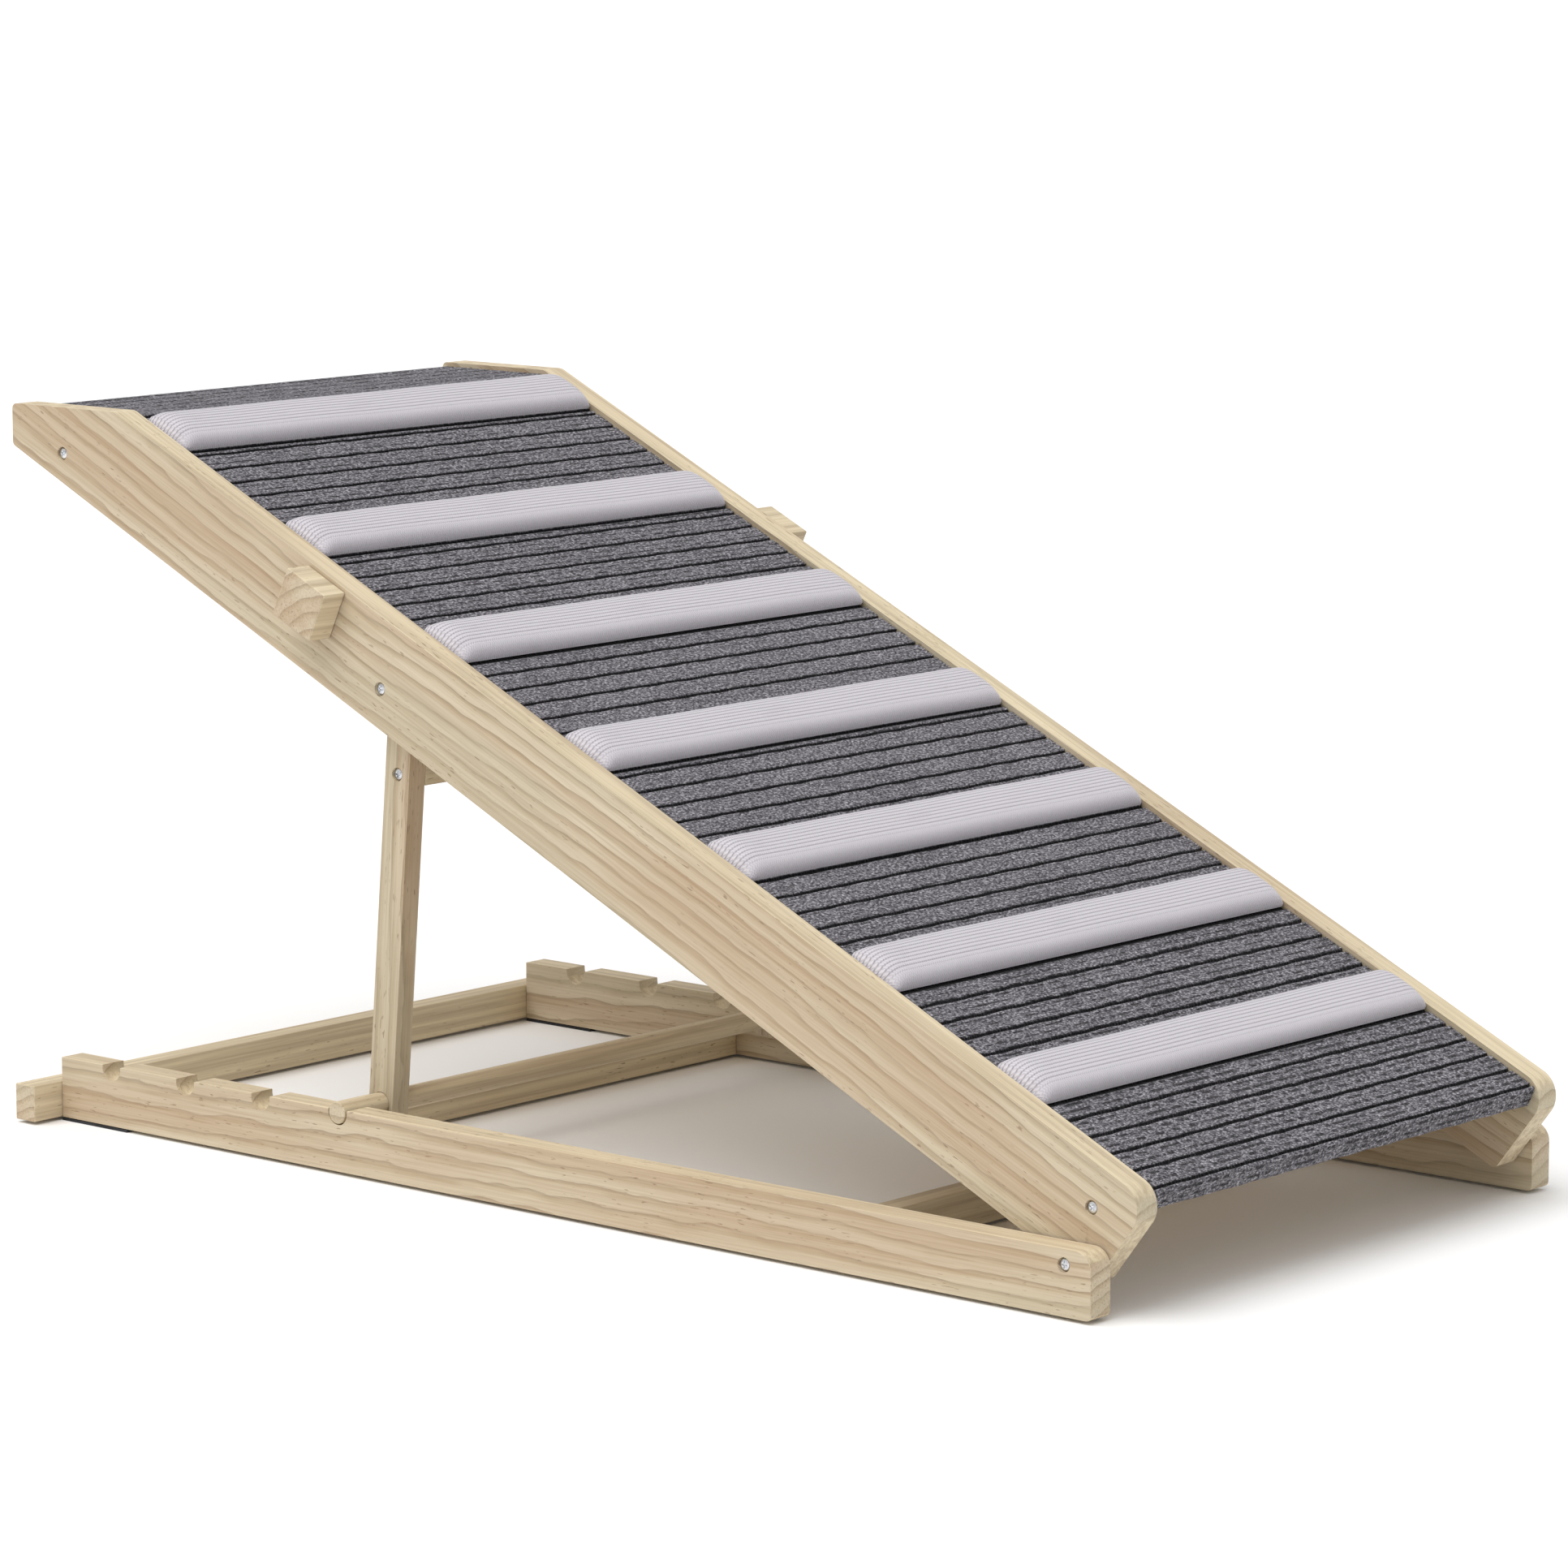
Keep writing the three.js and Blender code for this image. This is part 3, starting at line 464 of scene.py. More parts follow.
@dataclass(frozen=True)
class Carpet:
    """Looped carpet in rows across the ramp, with painted shade in the groove between ribs."""

    dark: Colour = (0.034, 0.031, 0.037)
    body: Colour = (0.168, 0.160, 0.176)
    bright: Colour = (0.52, 0.50, 0.54)
    # Near-black painted shade for the grooves, the gaps between loop rows and the dent beside each rung.
    groove: Colour = (0.006, 0.005, 0.007)
    tone_places: tuple[float, ...] = (0.12, 0.46, 0.95)
    loop_across: float = 1.9 * MM
    loop_along: float = 1.3 * MM
    loop_spread: float = 0.75
    crown_mask: Mask = Mask(0.7, 0.1)
    # Painted light on each loop's crown, darker toward its edge.
    crown_light: float = 0.35
    loop_light: float = 0.22                 # how far one loop's light differs from the next
    grain: Layer = Layer((520, 900, 1), detail=3, rough=0.75)
    grain_mask: Mask = Mask(0.32, 0.68, 0.62)
    patches: Layer = Layer((26, 20, 1))
    patch_light: float = 0.16
    less_light: float = 0.18
    row: float = 4.7 * MM
    row_mask: Mask = Mask(0.33, 0.45)
    dashes: Layer = Layer((150, 60, 1), rough=0.6)
    dash_mask: Mask = Mask(0.42, 0.56)
    calm_from: Mask = Mask(0.18, 0.3)        # metres along the cloth, up from the front
    calm_until: Mask = Mask(0.56, 0.44)
    calm_share: float = 0.85
    front_mask: Mask = Mask(0.2, 0.07, 0.07)            # widens the gaps toward the front
    gap_shade_share: float = 0.85
    groove_shade_mask: Mask = Mask(0.04, 0.4)
    crown_rise: float = 0.6
    grain_rise: float = 0.7
    gap_sink: float = 0.6
    groove_sink: float = 0.4
    relief: Relief = Relief(0.9 * MM, 0.85)

    def make(self) -> bpy.types.Material:
        """Makes the finish; the cloth map is in metres, and the attribute "sunk" is 1 in a groove and
        beside a rung's foot, where it paints shade.
        """
        board = Board("carpet_loops")
        plain = board.cloth()
        grid = board.cloth((1 / self.loop_across, 1 / self.loop_along, 1))
        crown = board.cells(grid, self.loop_spread).mask(self.crown_mask)
        lots = board.axis(board.cells(grid, self.loop_spread, "Color"), "X")
        grain = board.layer(plain, self.grain)
        sunk = board.add("ShaderNodeAttribute", {"attribute_name": "sunk"}, {}, "Fac")
        patches = board.layer(plain, self.patches)
        # Loop crowns get painted light; loop tone, grain and patches vary at random.
        light = crown * self.crown_light + lots * self.loop_light + grain.mask(self.grain_mask)
        light = light + patches * self.patch_light - self.less_light
        colour = board.ramp(light, tuple(zip(self.tone_places, (self.dark, self.body, self.bright))))
        gaps = self.gaps(board, plain)
        # Painted shade in the gaps between loop rows.
        colour = board.mix(gaps * self.gap_shade_share, colour, self.groove)
        # Painted shade where the face is sunk: in the grooves and the dent beside each rung.
        colour = board.mix(sunk.mask(self.groove_shade_mask), colour, self.groove)
        height = crown * self.crown_rise + grain * self.grain_rise
        board.raise_by(height - gaps * self.gap_sink - sunk * self.groove_sink, self.relief)
        board.finish(Base_Color=colour, Roughness=0.93, Specular_IOR_Level=0.15, Sheen_Weight=0.1,
                     Sheen_Roughness=0.5)
        return board.material

    def gaps(self, board: Board, plain: Shade) -> Shade:
        """Broken rows of painted shade between the loops, widest at the front and faint in mid-slope."""
        along = board.axis(plain, "Y")
        rows = (along / self.row).fraction().off_middle() + along.mask(self.front_mask)
        dashes = board.layer(plain, self.dashes).mask(self.dash_mask)
        busy = 1 - along.mask(self.calm_from) * along.mask(self.calm_until) * self.calm_share
        return rows.mask(self.row_mask) * dashes * busy


@dataclass(frozen=True)
class RungFabric:
    """Pale ribbed knit, its ribs along the rung, with painted shade in its hollows and on its downhill
    side.
    """

    pale: Colour = (0.66, 0.63, 0.672)
    # The darker colour: painted shade in the hollows and on the downhill side, and the tone of darker
    # patches.
    shade: Colour = (0.36, 0.335, 0.368)
    stitch: float = 1.5 * MM
    stitch_lean: float = 0.22                # stitches that a row swings to each side
    stitch_mask: Mask = Mask(0.5, 0.12)
    stitch_shade_share: float = 0.36
    valley_mask: Mask = Mask(0.28, 0.46)
    valley_fade: float = 3 * MM
    valley_shade_share: float = 0.66
    fuzz: Layer = Layer((1800, 1800, 1), detail=3, rough=0.7)
    fuzz_mask: Mask = Mask(0.35, 0.65, 0.3)
    fuzz_light: float = 1.12
    patches: Layer = Layer((60, 25, 1))
    patch_mask: Mask = Mask(0.55, 0.75, 0.18)
    downhill_shade_from: float = 2 * MM            # the downhill side's painted shade starts this far before the ribs end
    downhill_shade_to: float = 6 * MM
    downhill_shade_share: float = 0.5
    stitch_rise: float = 0.5
    fuzz_rise: float = 0.5
    valley_sink: float = 0.8
    relief: Relief = Relief(0.5 * MM, 0.8)

    def make(self, rib: float, smooth_from: float) -> bpy.types.Material:
        """Makes the finish.

        Args:
            rib: distance between the ribs across the rung.
            smooth_from: distance downhill of the crest where the ribs end.

        Returns:
            The material.
        """
        board = Board("rung_knit")
        plain = board.cloth()
        over = board.axis(plain, "X")
        valley = (over / rib).fraction().off_middle().mask(self.valley_mask)
        valley = valley * over.between(smooth_from, smooth_from - self.valley_fade)
        lean = (over / rib * math.tau).math("SINE") * self.stitch_lean
        knit = (board.axis(plain, "Y") / self.stitch + lean).fraction().off_middle().mask(self.stitch_mask)
        fuzz = board.layer(plain, self.fuzz)
        patches = board.layer(plain, self.patches)
        # Painted shade in the valleys between ribs and between the stitches.
        hollow_shade = valley * self.valley_shade_share + (1 - knit) * self.stitch_shade_share
        colour = board.mix(hollow_shade, self.pale, self.shade)
        colour = board.mix(fuzz.mask(self.fuzz_mask), colour, tuple(self.fuzz_light * c for c in self.pale))
        colour = board.mix(patches.mask(self.patch_mask), colour, self.shade)
        # The downhill side is darkened with painted shade, as if it faced away from the light.
        downhill = over.between(smooth_from - self.downhill_shade_from, smooth_from + self.downhill_shade_to)
        colour = board.mix(downhill * self.downhill_shade_share, colour, self.shade)
        height = knit * self.stitch_rise + fuzz * self.fuzz_rise - valley * self.valley_sink
        board.raise_by(height, self.relief)
        board.finish(Base_Color=colour, Roughness=0.88, Specular_IOR_Level=0.2, Sheen_Weight=0.25,
                     Sheen_Roughness=0.4)
        return board.material


@dataclass(frozen=True)
class Zinc:
    """Bright zinc plate with fine marks and duller stains."""

    bright: Colour = (0.78, 0.79, 0.81)
    dull: Colour = (0.42, 0.43, 0.46)
    stains: Layer = Layer((420, 420, 420), detail=3)
    stain_mask: Mask = Mask(0.4, 0.75)
    marks: Layer = Layer((2600, 2600, 2600))
    relief: Relief = Relief(0.05 * MM, 0.4)
    smoothest: float = 0.22
    stain_rough: float = 0.22

    def make(self) -> bpy.types.Material:
        """Makes the finish."""
        board = Board("zinc_plate")
        base = board.place()
        stains = board.layer(base, self.stains)
        marks = board.layer(base, self.marks)
        colour = board.mix(stains.mask(self.stain_mask), self.bright, self.dull)
        board.raise_by(marks, self.relief)
        board.finish(Base_Color=colour, Metallic=1.0, Roughness=self.smoothest + self.stain_rough * stains)
        return board.material


@dataclass(frozen=True)
class Rubber:
    """Matt black rubber with a fine pebble."""

    black: Colour = (0.012, 0.012, 0.014)
    worn: Colour = (0.045, 0.045, 0.05)
    pebbles: Axes = (1400, 1400, 1400)
    wear: Layer = Layer((60, 60, 60), detail=3)
    wear_mask: Mask = Mask(0.45, 0.75)
    relief: Relief = Relief(0.15 * MM, 0.5)
    smoothest: float = 0.7
    wear_rough: float = 0.2

    def make(self) -> bpy.types.Material:
        """Makes the finish."""
        board = Board("rubber_pad")
        base = board.place()
        pebbles = board.cells(board.stretch(base, self.pebbles), 1.0)
        wear = board.layer(base, self.wear)
        colour = board.mix(wear.mask(self.wear_mask), self.black, self.worn)
        board.raise_by(pebbles, self.relief)
        board.finish(Base_Color=colour, Roughness=self.smoothest + self.wear_rough * wear)
        return board.material


@dataclass(frozen=True)
class Foam:
    """Pale open-cell filling."""

    cream: Colour = (0.80, 0.77, 0.70)
    pore: Colour = (0.60, 0.56, 0.48)
    pores: Axes = (1100, 1100, 1100)
    pore_mask: Mask = Mask(0.1, 0.5)
    relief: Relief = Relief(0.3 * MM, 0.7)

    def make(self) -> bpy.types.Material:
        """Makes the finish."""
        board = Board("rung_foam")
        pores = board.cells(board.place(scale=self.pores), 1.0)
        colour = board.mix(pores.mask(self.pore_mask), self.pore, self.cream)
        board.raise_by(pores, self.relief)
        board.finish(Base_Color=colour, Roughness=0.95)
        return board.material


@dataclass(frozen=True)
class StudioFloor:
    """Plain pale floor with a barely seen mottle."""

    white: Colour = (0.93, 0.93, 0.93)
    mottled: Colour = (0.86, 0.86, 0.86)
    mottle: Layer = Layer((4, 4, 4))
    mottle_share: float = 0.04

    def make(self) -> bpy.types.Material:
        """Makes the finish."""
        board = Board("studio_floor")
        place = board.place(scale=self.mottle.scale)
        mottle = board.noise(place, self.mottle.detail, self.mottle.rough)
        colour = board.mix(mottle * self.mottle_share, self.white, self.mottled)
        board.finish(Base_Color=colour, Roughness=0.9, Specular_IOR_Level=0.1)
        return board.material


# ---------------------------------------------------------------- mesh tools
def to_object(mesh: bmesh.types.BMesh, name: str, material: bpy.types.Material,
              sharp: float = 40) -> bpy.types.Object:
    """Makes an object of a bmesh, at the origin, and frees the bmesh.

    Args:
        mesh: the finished shape in the part's frame.
        name: the object's name.
        material: its only finish.
        sharp: edges that turn by more than this many degrees stay crisp.

    Returns:
        The object, linked to the scene.
    """
    data = bpy.data.meshes.new(name)
    mesh.to_mesh(data)
    mesh.free()
    data.polygons.foreach_set("use_smooth", [True] * len(data.polygons))
    data.set_sharp_from_angle(angle=math.radians(sharp))
    data.materials.append(material)
    made = bpy.data.objects.new(name, data)
    bpy.context.scene.collection.objects.link(made)
    return made


def from_node(node: str) -> bmesh.types.BMesh:
    """A merged copy of a CAD node's mesh, with flat faces made whole."""
    mesh = bmesh.new()
    mesh.from_mesh(frame["nodes"][node].data)
    bmesh.ops.remove_doubles(mesh, verts=mesh.verts, dist=MERGE)
    bmesh.ops.dissolve_limit(mesh, angle_limit=FLAT, verts=mesh.verts, edges=mesh.edges)
    return mesh


def rim_down(mesh: bmesh.types.BMesh) -> list[bmesh.types.BMVert | bmesh.types.BMEdge]:
    """Extrudes an open mesh's rim in place, and returns the new vertices, edges and faces."""
    rim = [e for e in mesh.edges if e.is_boundary]
    return bmesh.ops.extrude_edge_only(mesh, edges=rim)["geom"]


def settle_order(mesh: bmesh.types.BMesh) -> None:
    """Puts edges and faces in the order of their vertices, because an extrusion's order varies."""
    mesh.verts.index_update()
    for items in (mesh.edges, mesh.faces):
        ranked = sorted(items, key=lambda item: sorted(v.index for v in item.verts))
        for rank, item in enumerate(ranked):
            item.index = rank
        items.sort()


def corners_of(points: Iterable[Vector]) -> tuple[Vector, Vector]:
    """The lowest and the highest corner of the box round some points."""
    placed = list(points)
    return (Vector(min(p[i] for p in placed) for i in range(3)),
            Vector(max(p[i] for p in placed) for i in range(3)))


def dress(piece: bpy.types.Object, body: str, node: str) -> None:
    """Makes a piece ride on a body and stand for its CAD node."""
    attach(piece, body)
    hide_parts(node)
    LOG.info("%s rides on %s, %d faces", piece.name, body, len(piece.data.polygons))


def refinish(node: str, material: bpy.types.Material) -> None:
    """Gives a CAD node that keeps its shape its only finish."""
    materials = frame["nodes"][node].data.materials
    materials.clear()
    materials.append(material)
    LOG.info("%s is finished in %s", node, material.name)


def steady_faces(piece: bpy.types.Object, weight: int = 100) -> None:
    """Keeps large flat faces evenly shaded beside their eased edges; 100 gives them all the say."""
    normals = piece.modifiers.new("flat_faces", "WEIGHTED_NORMAL")
    normals.keep_sharp = True
    normals.weight = weight


class Grain(Enum):
    """The way that a timber's grain runs."""

    ALONG_BASE = "base"
    ALONG_SLOPE = "slope"
    ALONG_LEG = "leg"
    ACROSS = "across"


@dataclass
class Deck:
    """The deck's own axes: where its hinge is, how steep it lies and how far its legs lean."""

    hinge: Vector = field(init=False)
    slope: float = field(init=False)
    lean: float = field(init=False)

    def __post_init__(self) -> None:
        """Reads the hinge, the slope and the lean of the legs from the frame."""
        joints = {j["name"]: j for j in frame["record"]["behaviour"]["joints"]}
        self.hinge = Vector(joints["ramp_tilt"]["pos_m"])
        along = self.centre("rung_core_1") - self.centre("rung_core_7")
        self.slope = math.atan2(along.z, -along.x)
        hang = Vector(joints["leg_swing"]["pos_m"]) - self.centre("leg_dowel")
        self.lean = math.atan2(hang.x, hang.z)

    @staticmethod
    def centre(node: str) -> Vector:
        """The middle of a CAD node's box."""
        low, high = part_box(node)
        return (low + high) / 2

    def to_part(self) -> Matrix:
        """Takes the deck's own axes to the part's: origin on the hinge, X down the slope."""
        return Matrix.Translation(self.hinge) @ Matrix.Rotation(self.slope, 4, "Y")

    def tilted(self, node: str) -> list[Vector]:
        """The vertices of a CAD node on the deck's own axes."""
        to_deck = self.to_part().inverted()
        return [to_deck @ v.co for v in frame["nodes"][node].data.vertices]

    def grain_turn(self, grain: Grain) -> tuple[float, float, float]:
        """The rotation that brings a timber's grain to the X axis."""
        turns = {
            Grain.ALONG_BASE: (0.0, 0.0, 0.0),
            Grain.ALONG_SLOPE: (0.0, -self.slope, 0.0),
            Grain.ALONG_LEG: (0.0, math.pi / 2 - self.lean, 0.0),
            Grain.ACROSS: (0.0, 0.0, math.pi / 2),
        }
        return turns[grain]


# ---------------------------------------------------------------- timber
@dataclass
class Timber:
    """Pine pieces, copied from their CAD shapes and eased along their outer edges."""

    deck: Deck
    rail_ease: float = 2.4 * MM
    small_ease: float = 0.8 * MM
    dowel_ease: float = 0.6 * MM
    steps: int = 4                           # facets of a round-over
    crisp: float = math.radians(50)          # edges that turn by less aren't eased
    hole_turn: float = math.radians(12)      # walls of a round hole turn by more from face to face
    hole_area: float = 60 * MM * MM          # the largest face of a hole's wall
    notch_top: float = 0.3 * MM              # a notch's edges reach from here below the rail's top
    notch_foot: float = 12 * MM              # to here
    notch_reach: tuple[float, float] = (0.01, 0.95)     # shares of a rail's length, rear to front
    count: int = 0                           # pieces built so far, the seed of each one's finish

    def build(self) -> None:
        """Builds every pine piece."""
        for side in SIDES:
            self.piece(f"base_rail_{side}", "base", Grain.ALONG_BASE, self.rail_ease, notched=True)
            self.piece(f"deck_rail_{side}", "deck", Grain.ALONG_SLOPE, self.rail_ease)
            self.piece(f"side_block_{side}", "deck", Grain.ACROSS, self.small_ease)
            self.piece(f"leg_{side}", "leg_frame", Grain.ALONG_LEG, self.small_ease)
            for bar in ("mid", "front"):
                self.piece(f"{bar}_bar_pin_{side}", "base", Grain.ACROSS, ease=0)
        for name in ("rear_crossbar", "mid_crossbar", "front_crossbar"):
            self.piece(name, "base", Grain.ACROSS, self.small_ease)
        for name in ("upper_batten", "lower_batten"):
            self.piece(name, "deck", Grain.ACROSS, self.small_ease)
        self.piece("leg_crossbar", "leg_frame", Grain.ACROSS, self.small_ease)
        self.piece("leg_dowel", "leg_frame", Grain.ACROSS, self.dowel_ease)

    def piece(self, node: str, body: str, grain: Grain, ease: float, notched: bool = False) -> None:
        """Builds one pine piece in place of its CAD node.

        Args:
            node: the CAD node.
            body: the body that it rides on.
            grain: the way that its grain runs.
            ease: width of the round-over along its outer edges, or 0 for none.
            notched: leaves the edges of notches crisp.
        """
        self.count += 1
        mesh = from_node(node)
        if ease:
            edges = self.outer_edges(mesh, notched)
            bmesh.ops.bevel(mesh, geom=edges, offset=ease, affect="EDGES", segments=self.steps,
                            profile=0.5, material=-1, clamp_overlap=True)
        centre = sum((v.co for v in mesh.verts), Vector()) / len(mesh.verts)
        material = Pine().make(f"pine_{node}", self.deck.grain_turn(grain), centre, self.count,
                               grain is Grain.ACROSS)
        made = to_object(mesh, f"{node}_timber", material)
        steady_faces(made)
        dress(made, body, node)

    def outer_edges(self, mesh: bmesh.types.BMesh, notched: bool) -> list[bmesh.types.BMEdge]:
        """The convex edges round a piece's side faces, without screw holes and notches."""
        low, high = corners_of(v.co for v in mesh.verts)
        found = []
        for edge in mesh.edges:
            if len(edge.link_faces) != 2 or not edge.is_convex:
                continue
            if edge.calc_face_angle() < self.crisp or any(self.is_hole(f) for f in edge.link_faces):
                continue
            if notched and self.in_notch(edge, low, high):
                continue
            found.append(edge)
        return found

    def is_hole(self, face: bmesh.types.BMFace) -> bool:
        """Whether a face belongs to the wall of a small round hole."""
        concave = [e for e in face.edges if len(e.link_faces) == 2 and not e.is_convex
                   and e.calc_face_angle() > self.hole_turn]
        return len(concave) >= 2 and face.calc_area() < self.hole_area

    def in_notch(self, edge: bmesh.types.BMEdge, low: Vector, high: Vector) -> bool:
        """Whether an edge is part of a notch in a rail's top: across the rail, or reaching below it.

        Args:
            edge: an edge of the rail.
            low: the lowest corner of the rail's box.
            high: its highest corner.

        Returns:
            True for an edge of a notch.
        """
        first, second = (v.co for v in edge.verts)
        along = ((first.x + second.x) / 2 - low.x) / (high.x - low.x)
        below_top = high.z - min(first.z, second.z)
        across = abs(first.y - second.y) > MM
        between_ends = self.notch_reach[0] < along < self.notch_reach[1]
        return between_ends and (across or self.notch_top < below_top < self.notch_foot)


# ---------------------------------------------------------------- carpet
@dataclass
class Route:
    """A path in the X-Z plane through corners, each with its own radius."""

    corners: Sequence[tuple[Vector, float]]
    arc_steps: int = 10
    places: list[Vector] = field(init=False)
    reach: list[float] = field(init=False)

    def __post_init__(self) -> None:
        """Works out the path's points and how far along it each of them is."""
        self.places = [self.corners[0][0]]
        turns = zip(self.corners, self.corners[1:], self.corners[2:])
        for (before, _), (corner, radius), (after, _) in turns:
            self.places += self.arc(before, corner, after, radius)
        self.places.append(self.corners[-1][0])
        self.reach = [0.0]
        for first, second in zip(self.places, self.places[1:]):
            self.reach.append(self.reach[-1] + (second - first).length)

    def arc(self, before: Vector, corner: Vector, after: Vector, radius: float) -> list[Vector]:
        """Points of the round corner between two straight stretches."""
        back = (before - corner).normalized()
        ahead = (after - corner).normalized()
        half = back.angle(ahead) / 2
        centre = corner + (back + ahead).normalized() * (radius / math.sin(half))
        start = corner + back * (radius / math.tan(half)) - centre
        turn = math.pi - 2 * half
        sign = 1 if back.cross(ahead).y > 0 else -1
        angles = [-sign * turn * i / self.arc_steps for i in range(self.arc_steps + 1)]
        return [centre + Matrix.Rotation(angle, 3, "Y") @ start for angle in angles]

    def length(self) -> float:
        """The whole length of the path."""
        return self.reach[-1]

    def at(self, distance: float) -> tuple[Vector, Vector]:
        """The point at a distance along the path, and the outward normal there."""
        index = min(bisect_left(self.reach, distance, 1), len(self.reach) - 1) - 1
        first, second = self.places[index], self.places[index + 1]
        share = (distance - self.reach[index]) / (self.reach[index + 1] - self.reach[index])
        along = (second - first).normalized()
        return first.lerp(second, share), Vector((along.z, 0, -along.x))


@dataclass
class CarpetSheet:
    """The ribbed carpet, wrapped over both ends of the deck."""

    deck: Deck
    node: str = "deck_carpet"
    rib: float = 14 * MM
    rows_per_rib: int = 4
    row_shares: tuple[float, ...] = (0.0, 0.16, 0.32, 0.5, 0.68, 0.84)      # mesh rows within a row
    row_depth: float = 0.16 * MM
    thick: float = 3.1 * MM
    groove_depth: float = 1.5 * MM
    groove_half: float = 1.15 * MM
    groove_shares: tuple[float, ...] = (0.45, 1)        # mesh rows on each side of a groove
    groove_steep: float = 2.2                # more than 1 gives a flat bottom
    groove_waver: float = 0.22 * MM
    waver_across: float = 1.9                # radians per mesh column
    waver_along: float = 83                  # radians per metre
    row_waver: float = 0.2                   # share of a row's depth that varies
    row_waver_across: float = 2.7            # radians per mesh column
    pressed: float = 2.4 * MM                # reach of the dent and of its painted shadow beside a rung
    foot_slack: float = 0.5 * MM
    corner: float = 2.2 * MM
    bend: float = 6 * MM
    across: int = 34
    closest: float = 0.18 * MM               # least distance between mesh rows
    drop: float = 0.15 * MM                  # below the CAD carpet's face
    edge_in: float = -0.5 * MM
    edge_out: float = 0.15 * MM
    seed: int = 5
    lower_slope: float = 0.3                 # metres up from the hinge that surely are slope
    crisp: float = 60
    feet: list[float] = field(default_factory=list)

    def build(self) -> None:
        """Builds the carpet in place of its CAD node."""
        route = self.route()
        stations = self.stations(route.length())
        spots = [route.at(s) for s in stations]
        covers = range(1, Rungs.count + 1)
        self.feet = [max(v.x for v in self.deck.tilted(f"rung_cover_{number}")) for number in covers]
        low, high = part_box(self.node)
        width = high.y - low.y
        mesh = bmesh.new()
        rows = len(stations) - 1
        bmesh.ops.create_grid(mesh, x_segments=rows, y_segments=self.across, size=0.5)
        cloth = mesh.loops.layers.uv.new("cloth")
        mesh.verts.layers.float.new("sunk")
        cell = {v: (round((v.co.x + 0.5) * rows), round((v.co.y + 0.5) * self.across)) for v in mesh.verts}
        self.lay(mesh, stations, spots, cell)
        for face in mesh.faces:
            for loop in face.loops:
                i, j = cell[loop.vert]
                loop[cloth].uv = (width * j / self.across, stations[i])
        self.underside(mesh, spots, cell)
        bmesh.ops.recalc_face_normals(mesh, faces=mesh.faces)
        settle_order(mesh)
        piece = to_object(mesh, "ribbed_carpet", Carpet().make(), self.crisp)
        dress(piece, "deck", self.node)
        flat = (width, route.length())

    def lay(self, mesh: bmesh.types.BMesh, stations: Sequence[float],
            spots: Sequence[tuple[Vector, Vector]],
            cell: dict[bmesh.types.BMVert, tuple[int, int]]) -> None:
        """Lays the carpet's face along its path, with its grooves, rows and wavering edges.

        Args:
            mesh: the carpet's face, still a flat grid.
            stations: the distance along the cloth of each mesh row.
            spots: a point and outward normal for each mesh row.
            cell: the row and column of each vertex.
        """
        shade = mesh.verts.layers.float["sunk"]
        low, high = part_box(self.node)
        foot = [self.by_rung(place) for place, _ in spots]
        waver = random.Random(self.seed)
        edge_wave = [waver.uniform(self.edge_in / MM, self.edge_out / MM) * MM for _ in stations]
        for vert, (i, j) in cell.items():
            place, normal = spots[i]
            y = low.y + (high.y - low.y) * j / self.across
            if j in (0, self.across):
                y += edge_wave[i] * (-1 if j == 0 else 1)
            groove = max(self.groove(stations[i], j), foot[i])
            sunk = max(groove * self.groove_depth, self.dip(stations[i], j))
            vert.co = Vector((place.x, y, place.z)) - normal * (sunk + self.drop)
            # The depth of a groove or a rung's dent also sets how much painted shade the finish puts there.
            vert[shade] = groove

    def underside(self, mesh: bmesh.types.BMesh, spots: Sequence[tuple[Vector, Vector]],
                  cell: dict[bmesh.types.BMVert, tuple[int, int]]) -> None:
        """Gives the carpet its thickness: a skirt all round and a plain back.

        Args:
            mesh: the carpet's face, open underneath.
            spots: a point and outward normal for each mesh row.
            cell: the row and column of each vertex.
        """
        under = {}
        for vert in (g for g in rim_down(mesh) if isinstance(g, bmesh.types.BMVert)):
            above = next(e.other_vert(vert) for e in vert.link_edges if e.other_vert(vert) in cell)
            under[vert] = cell[above]
            place, normal = spots[under[vert][0]]
            vert.co = Vector((place.x, vert.co.y, place.z)) - normal * self.thick
        spare = [v for v, (_, column) in under.items() if 0 < column < self.across]
        sides = {v: column for v, (_, column) in under.items() if column in (0, self.across)}
        bmesh.ops.dissolve_verts(mesh, verts=spare)
        edges = [e for e in mesh.edges if e.is_boundary and sides[e.verts[0]] == sides[e.verts[1]]]
        bmesh.ops.bridge_loops(mesh, edges=edges)

    def route(self) -> Route:
        """The carpet's outer face from its front fold over the slope and platform to its rear fold."""
        tilted = self.deck.tilted(self.node)
        front = max(v.x for v in tilted)
        foot = min(v.z for v in tilted if v.x > front - TOUCH)
        slope_top = max(v.z for v in tilted if v.x > -self.lower_slope)
        low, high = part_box(self.node)
        upright = [v.co for v in frame["nodes"][self.node].data.vertices]
        rear_foot = min(v.z for v in upright if v.x < low.x + TOUCH)
        to_part = self.deck.to_part()
        start = to_part @ Vector((front, 0, foot))
        nose = to_part @ Vector((front, 0, slope_top))
        along = to_part.to_3x3() @ Vector((-1, 0, 0))
        bend = nose + along * ((high.z - nose.z) / along.z)
        rear = Vector((low.x, 0, high.z))
        end = Vector((low.x, 0, rear_foot))
        return Route(((start, 0), (nose, self.corner), (bend, self.bend), (rear, self.corner), (end, 0)))

